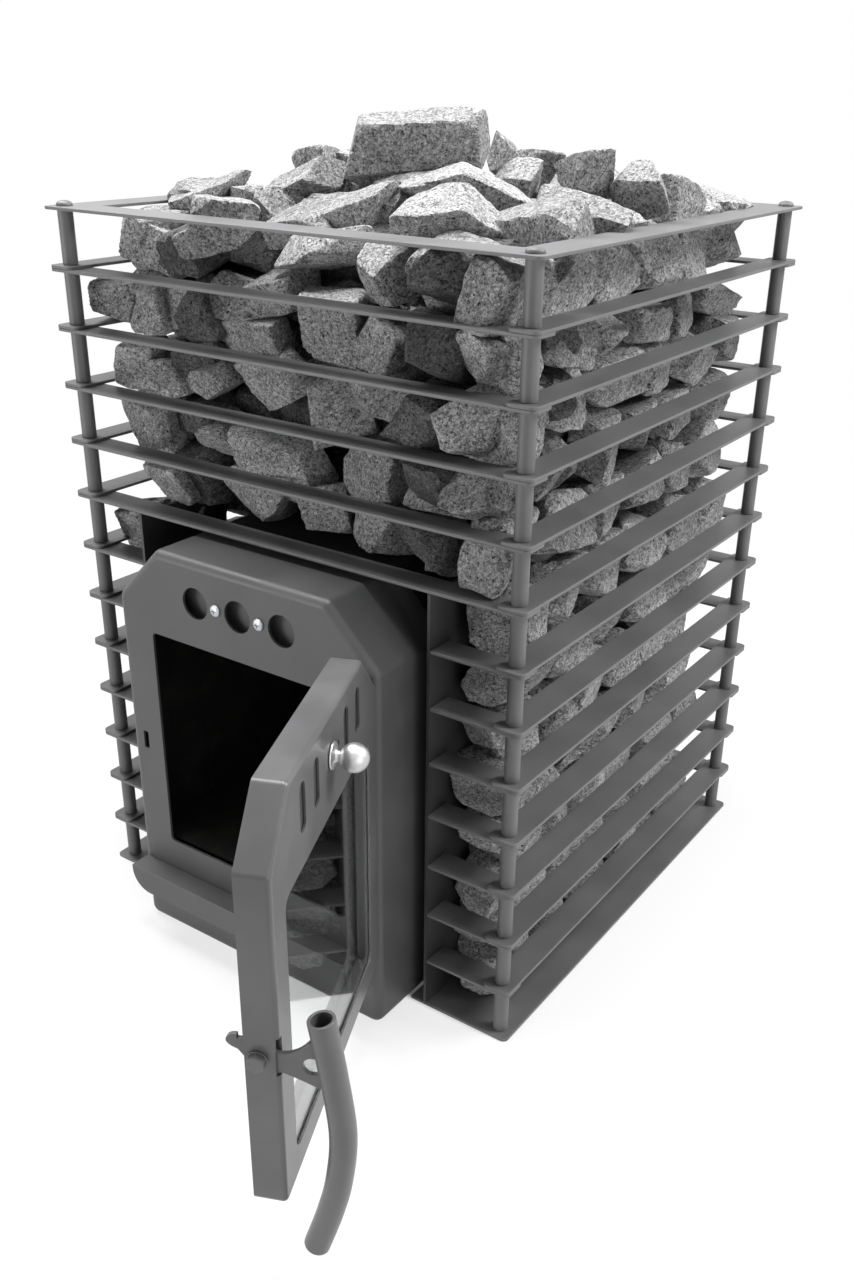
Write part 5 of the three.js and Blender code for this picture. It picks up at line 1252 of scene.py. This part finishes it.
class STOVE_OT_latch(Operator):
    """Builds the latch lever with its pivot bolt and tube handle"""

    bl_idname = "stove.latch"
    bl_label = "Latch"
    bl_options = {"REGISTER", "UNDO"}

    def execute(self, context):
        stove = context.scene.stove
        materials = finishes(stove.finish)
        door, latch = stove.door, stove.latch
        pivot = Vector((lever_side(door), door_face(door) + latch.setback, PLATE_TOP + latch.height))
        self.lever(latch, pivot, materials["door"], stove.cage.edge)
        self.handle(latch, pivot, materials["door"])
        self.bolt(door, latch, pivot, materials["cage"])
        return {"FINISHED"}

    def handle_path(self, latch, pivot):
        """The bowed route of the handle: out from the pivot and up, in millimetres."""
        route = [(47.5, 42), (55.5, -9), (61.5, -65), (57.5, -112), (49.5, -148), (38, -186)]
        middle = Vector((latch.lever / 2, 0, 0)) + pivot
        return smooth_path([middle + Vector((0, -out * MM, up * MM)) for out, up in route], 14)

    def lever(self, latch, pivot, material, edge):
        """Hook and forked arm, cut from one plate. Drawn out from the pivot and up, in millimetres."""
        outline = [(18, -12), *bow((18, -12), (32, -16), (47, -23)), (53, -23), (51, 21), (38, 20)]
        outline += bow((38, 20), (29, 7), (16, 6)) + [(2, 9), (-9.5, 14.5), (-16, 14.5), (-16, 18)]
        outline += bow((-16, 18), (-24, 18), (-25, 12)) + bow((-25, 12), (-25, 7.5), (-16, 4.5))
        outline += [(-6, -8), *bow((-6, -8), (4, -13), (18, -12))[:-1]]
        plan = [(pivot.y - out * MM, pivot.z + up * MM) for out, up in outline]
        eye = circle(pivot.y - latch.eye_reach, pivot.z - 2 * MM, latch.eye / 2)
        across = (pivot.x - PAST, pivot.x + latch.lever + PAST, "x")
        bm = worked(prism(plan, pivot.x, pivot.x + latch.lever, "x"), cutters=[prism(eye, *across)])
        piece("lever_plate", bm, "latch", material, ["latch_lever"], edge, AS_SHOWN)

    def handle(self, latch, pivot, material):
        """A bent tube, open at both ends."""
        path = self.handle_path(latch, pivot)
        outside = circle(0, 0, latch.tube / 2)
        inside = circle(0, 0, latch.tube / 2 - latch.tube_wall)
        edge = 0.5 * MM
        bm = bmesh.new()
        across = Vector((1, 0, 0))
        outer, inner = (add_swept(bm, path, across, lambda step, s=skin: s)[0] for skin in (outside, inside))
        for end in (0, -1):
            for k in range(len(outside)):
                bm.faces.new((outer[end][k - 1], outer[end][k], inner[end][k], inner[end][k - 1]))
        bmesh.ops.recalc_face_normals(bm, faces=bm.faces)
        piece("handle_pipe", bm, "latch", material, ["handle_tube"], edge, AS_SHOWN)

    def bolt(self, door, latch, pivot, material):
        """Hexagon bolt with a chamfered head on a washer, and its nut inside the rim."""
        outwards = Matrix.Rotation(-math.pi / 2, 4, "Y")
        place = AS_SHOWN @ (Matrix.Translation((-door.width / 2, pivot.y, pivot.z)) @ outwards)
        washer, shank, edge = 1.6 * MM, 4 * MM, 0.3 * MM
        ring = latch.washer / 2
        inside = -door.sheet - latch.lever - 0.6 * MM
        end = inside - 6 * MM
        rim = [(ring - edge, 0), (ring, edge), (ring, washer - edge), (ring - edge, washer)]
        bm = bmesh.new()
        add_turned(bm, [(shank, 0), *rim, (shank, washer), (shank, 0)], 40)
        add_turned(bm, [(0, end), (shank, end), (shank, washer), (0, washer)], 24)
        flats, radius = latch.bolt_flats / 2, latch.bolt_flats / math.sqrt(3)
        hexagon = circle(0, 0, radius, 6)
        top = washer + latch.bolt_height
        brim = 2 * radius
        fall = 0.9 * MM + (brim - flats) * 0.5
        crown = bmesh.new()
        add_turned(crown, [(0, 0), (brim, 0), (brim, top - fall), (0.96 * flats, top), (0, top)], 60)
        head = worked(prism(hexagon, washer, top, "z"), keep=crown)
        nut = prism(hexagon, inside - 5 * MM, inside, "z")
        for part in (head, nut):
            mesh = bpy.data.meshes.new("part")
            part.to_mesh(mesh)
            part.free()
            bm.from_mesh(mesh)
            bpy.data.meshes.remove(mesh)
        piece("pivot_bolt", bm, "door", material, ["latch_pivot_bolt"], place=place, crease=20)


class STOVE_OT_draught(Operator):
    """Builds the draught knob and finishes its slider"""

    bl_idname = "stove.draught"
    bl_label = "Draught"
    bl_options = {"REGISTER", "UNDO"}

    def execute(self, context):
        stove = context.scene.stove
        materials = finishes(stove.finish)
        # The slider shows in the slots and is painted darker, as painted shade in the recesses.
        dress(["draught_slider"], materials["painted_shade"])
        self.knob(stove.door, materials["aluminium"])
        return {"FINISHED"}

    def knob(self, door, material):
        """A ball on a neck with a flange, turned from one bar."""
        height = PLATE_TOP + door.slot_bottom + door.slot_height / 2
        radius, flange, neck, stem = door.knob / 2, 11.5 * MM, 4.5 * MM, 3 * MM
        reach, steps = 18 * MM, 18
        brim = flange - 0.4 * MM
        profile = [(0, -5 * MM), (stem, -5 * MM), (stem, 0.5 * MM), (brim, 0.5 * MM)]
        profile += [(flange, 0.9 * MM), (flange, 1.5 * MM), (brim, 2 * MM)]
        profile += bow((brim, 2 * MM), (neck, 2.6 * MM), (neck, 6 * MM))
        start = math.asin(neck / radius)
        for k in range(steps):
            turn = start + (math.pi - start) * k / steps
            profile.append((radius * math.sin(turn), reach - radius * math.cos(turn)))
        profile.append((0, reach + radius))
        place = AS_SHOWN @ Matrix.Translation((door.draught_offset, door_face(door), height))
        place = place @ Matrix.Rotation(math.pi / 2, 4, "X")
        bm = bmesh.new()
        add_turned(bm, profile, 48)
        piece("ball_knob", bm, "draught", material, ["draught_knob"], place=place)


class STOVE_OT_stones(Operator):
    """Fills and heaps the cage with broken granite"""

    bl_idname = "stove.stones"
    bl_label = "Stones"
    bl_options = {"REGISTER", "UNDO"}

    def execute(self, context):
        settings = context.scene.stove.stones
        material = finishes(context.scene.stove.finish)["granite"]
        self.heap(settings, material)
        self.lower_beds(settings, material)
        stone_piece("stones_upper", self.upper_walls(settings), "stone_bed_upper", material, settings)
        stone_piece("stones_front", front_stones(settings), "stone_bed_front", material, settings)
        stone_piece("stones_crown", crown_stones(), "stone_bed_crown", material, settings)
        return {"FINISHED"}

    def heap(self, settings, material):
        """Each loose stone on top is a piece of its own."""
        for name, (place, size, lean, seed) in HEAP_STONES.items():
            stone = Stone(Vector(place) * MM, Vector(size) * MM, seed, NEAR, lean)
            stone_piece("loose_stone_" + name, [stone], "heap_stone_" + name, material, settings)

    def lower_beds(self, settings, material):
        """The stones on both sides of the firebox and behind it."""
        start = CHEEK_BACK - 60 * MM
        floor, ceiling = PLATE_TOP + 0.4 * MM, BED_SPLIT - 0.8 * MM
        for side, name, seed in ((1, "right", 400), (-1, "left", 450)):
            stones = strip_stones(side, settings)
            stones += side_wall(side, start, STONE_Y, floor, ceiling, seed, settings)
            stone_piece("stones_" + name, stones, "stone_bed_" + name, material, settings)
        stones = back_wall(-CHEEK_INNER, CHEEK_INNER, floor, ceiling, 500, settings)
        stone_piece("stones_back", stones, "stone_bed_back", material, settings)

    def upper_walls(self, settings):
        """The stones of the back and the sides above the firebox, with a layer behind the sides darker as
        painted shade.
        """
        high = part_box("stone_bed_crown")[0].z + 30 * MM
        reach = STONE_X - 50 * MM
        inner = settings.depth * 0.8
        stones = back_wall(-reach, reach, BED_SPLIT, high, 610, settings)
        for side, ahead, seed in ((1, 110 * MM, 550), (-1, 70 * MM, 580)):
            run = (side, CHEEK_BACK - ahead, STONE_Y, BED_SPLIT, high)
            stones += side_wall(*run, seed, settings)
            # The layer behind the sides is darker as painted shade.
            stones += side_wall(*run, seed + 300, settings, FAR, inner, settings.painted_shade_tone)
        return stones


# The lamps: place and diameter in metres, and power in watts.
LAMPS = {
    "overhead": ((0, -0.2, 2.4), 0.9, 42),
    "upper left": ((-1.3, -0.1, 2.3), 1.0, 46),
    "upper right": ((1.7, 0.9, 2.2), 1.2, 70),
    "low front": ((-1.3, -2.3, 0.5), 1.2, 23),
    "low right": ((2.3, -0.9, 0.5), 1.4, 12),
}
LIT = Vector((0, 0, 0.4))  # where the lamps point


class STOVE_OT_stage(Operator):
    """Sets up the pale floor, the soft light and the camera"""

    bl_idname = "stove.stage"
    bl_label = "Stage"
    bl_options = {"REGISTER", "UNDO"}

    def execute(self, context):
        self.floor(context.scene.stove.finish.floor)
        self.surround()
        for name, (place, size, power) in LAMPS.items():
            self.lamp(name, place, size, power)
        self.camera()
        return {"FINISHED"}

    def looked_at(self, tree):
        """1 where the eye, a reflection or the glass looks, and 0 for the light given off."""
        path = add_node(tree, "ShaderNodeLightPath")
        direct = add_node(
            tree, "ShaderNodeMath",
            {0: path.outputs["Is Camera Ray"], 1: path.outputs["Is Glossy Ray"]}, operation="MAXIMUM",
        )
        seen = add_node(
            tree, "ShaderNodeMath",
            {0: direct.outputs["Value"], 1: path.outputs["Is Transmission Ray"]}, operation="MAXIMUM",
        )
        return seen.outputs["Value"]

    def floor(self, shade):
        """Pale floor: lit white where nothing shades it, so that only the stove's shadow shows."""
        reach, thickness, soft = 9, 50 * MM, 4 * MM
        bm = prism(circle(0, 0, reach, 64), -thickness, 0, "z")
        obj = as_object("studio_floor", bm)
        material, tree, shader = new_material("Studio floor", base_color=(*shade, 1), roughness=1)
        output = tree.nodes["Material Output"]
        glow = add_node(tree, "ShaderNodeEmission", {"Color": (1, 1, 1, 1), "Strength": 1})
        place = add_node(tree, "ShaderNodeTexCoord").outputs["Object"]
        # The white is full 1.5 m away, leaves the shadow to show nearer by, and stops under the stove.
        away = add_node(tree, "ShaderNodeVectorMath", {0: place}, operation="LENGTH")
        white = add_node(
            tree, "ShaderNodeMapRange",
            {"Value": away.outputs["Value"], "From Min": 0.6, "From Max": 1.5, "To Min": 0.75, "To Max": 1.0},
        )
        sides = add_node(tree, "ShaderNodeVectorMath", {0: place}, operation="ABSOLUTE")
        beyond = add_node(
            tree, "ShaderNodeVectorMath",
            {0: sides.outputs["Vector"], 1: (OUTER_X, OUTER_Y, 0)}, operation="SUBTRACT",
        )
        across = add_node(tree, "ShaderNodeSeparateXYZ", {0: beyond.outputs["Vector"]})
        outside = add_node(
            tree, "ShaderNodeMath", {0: across.outputs["X"], 1: across.outputs["Y"]}, operation="MAXIMUM"
        )
        clear = add_node(
            tree, "ShaderNodeMapRange",
            {
                "Value": outside.outputs["Value"], "From Min": -soft, "From Max": soft,
                "To Min": 0.1, "To Max": 1.0,
            },
        )
        lit = add_node(
            tree, "ShaderNodeMath",
            {0: white.outputs["Result"], 1: clear.outputs["Result"]}, operation="MULTIPLY",
        )
        share = add_node(
            tree, "ShaderNodeMath", {0: self.looked_at(tree), 1: lit.outputs["Value"]}, operation="MULTIPLY"
        )
        mix = add_node(
            tree, "ShaderNodeMixShader",
            {0: share.outputs["Value"], 1: shader.outputs["BSDF"], 2: glow.outputs["Emission"]},
        )
        tree.links.new(mix.outputs["Shader"], output.inputs["Surface"])
        obj.data.materials.append(material)

    def surround(self):
        """White to the eye and in reflections, and a soft grey fill as a light."""
        world = bpy.data.worlds.new("Studio surround")
        world.use_nodes = True
        bpy.context.scene.world = world
        tree = world.node_tree
        strength = add_node(
            tree, "ShaderNodeMapRange", {"Value": self.looked_at(tree), "To Min": 0.13, "To Max": 1.0}
        )
        background = tree.nodes["Background"]
        background.inputs["Color"].default_value = (1, 1, 1, 1)
        tree.links.new(strength.outputs["Result"], background.inputs["Strength"])

    def lamp(self, name, place, size, power):
        """A soft round lamp that points at the stove."""
        data = bpy.data.lights.new(name, "AREA")
        data.shape, data.size, data.energy = "DISK", size, power
        lamp = bpy.data.objects.new(name, data)
        lamp.location = place
        lamp.rotation_euler = (LIT - Vector(place)).to_track_quat("-Z", "Y").to_euler()
        bpy.context.scene.collection.objects.link(lamp)

    def camera(self):
        """Looks down on the stove from the right of its door, as the photograph does.

        Place, angles, lens and shift are fitted to the cage's bars and posts.
        """
        place = (0.7584, -1.0986, 0.8716)
        turn, fall, roll = (math.radians(angle) for angle in (34.151, 25.293, 1.010))
        back = Vector((math.sin(turn) * math.cos(fall), -math.cos(turn) * math.cos(fall), math.sin(fall)))
        right = Vector((math.cos(turn), math.sin(turn), 0))
        up = back.cross(right)
        across = right * math.cos(roll) + up * math.sin(roll)
        above = up * math.cos(roll) - right * math.sin(roll)
        data = bpy.data.cameras.new("Camera")
        data.lens, data.sensor_width = 34.56, 36
        data.shift_x, data.shift_y = -0.01424, 0.01518
        data.clip_start = 0.05
        camera = bpy.data.objects.new("Camera", data)
        axes = Matrix((across, above, back)).transposed().to_4x4()
        camera.matrix_world = Matrix.Translation(place) @ axes
        bpy.context.scene.collection.objects.link(camera)
        bpy.context.scene.camera = camera
        bpy.context.scene.view_settings.view_transform = "Standard"


STEPS = (
    STOVE_OT_cage, STOVE_OT_portal, STOVE_OT_firebox, STOVE_OT_door,
    STOVE_OT_latch, STOVE_OT_draught, STOVE_OT_stones, STOVE_OT_stage,
)


class STOVE_PT_build(Panel):
    """The stove's building steps and sizes"""

    bl_idname = "STOVE_PT_build"
    bl_label = "Sauna Stove"
    bl_space_type = "VIEW_3D"
    bl_region_type = "UI"
    bl_category = "Stove"

    def draw(self, context):
        for step in STEPS:
            self.layout.operator(step.bl_idname)
        for group in StoveSettings.__annotations__:
            box = self.layout.box()
            box.label(text=group.title())
            settings = getattr(context.scene.stove, group)
            for name in type(settings).__annotations__:
                box.prop(settings, name)


CLASSES = (
    StoveCage, StovePortal, StoveDoor, StoveLatch, StoveStones, StoveFinish, StoveSettings,
    *STEPS, STOVE_PT_build,
)


def register():
    for cls in CLASSES:
        bpy.utils.register_class(cls)
    bpy.types.Scene.stove = PointerProperty(type=StoveSettings)


def unregister():
    del bpy.types.Scene.stove
    for cls in reversed(CLASSES):
        bpy.utils.unregister_class(cls)


def main():
    register()
    bpy.ops.stove.cage()
    bpy.ops.stove.portal()
    bpy.ops.stove.firebox()
    bpy.ops.stove.door()
    bpy.ops.stove.latch()
    bpy.ops.stove.draught()
    bpy.ops.stove.stones()
    bpy.ops.stove.stage()


if __name__ == "__main__":
    main()
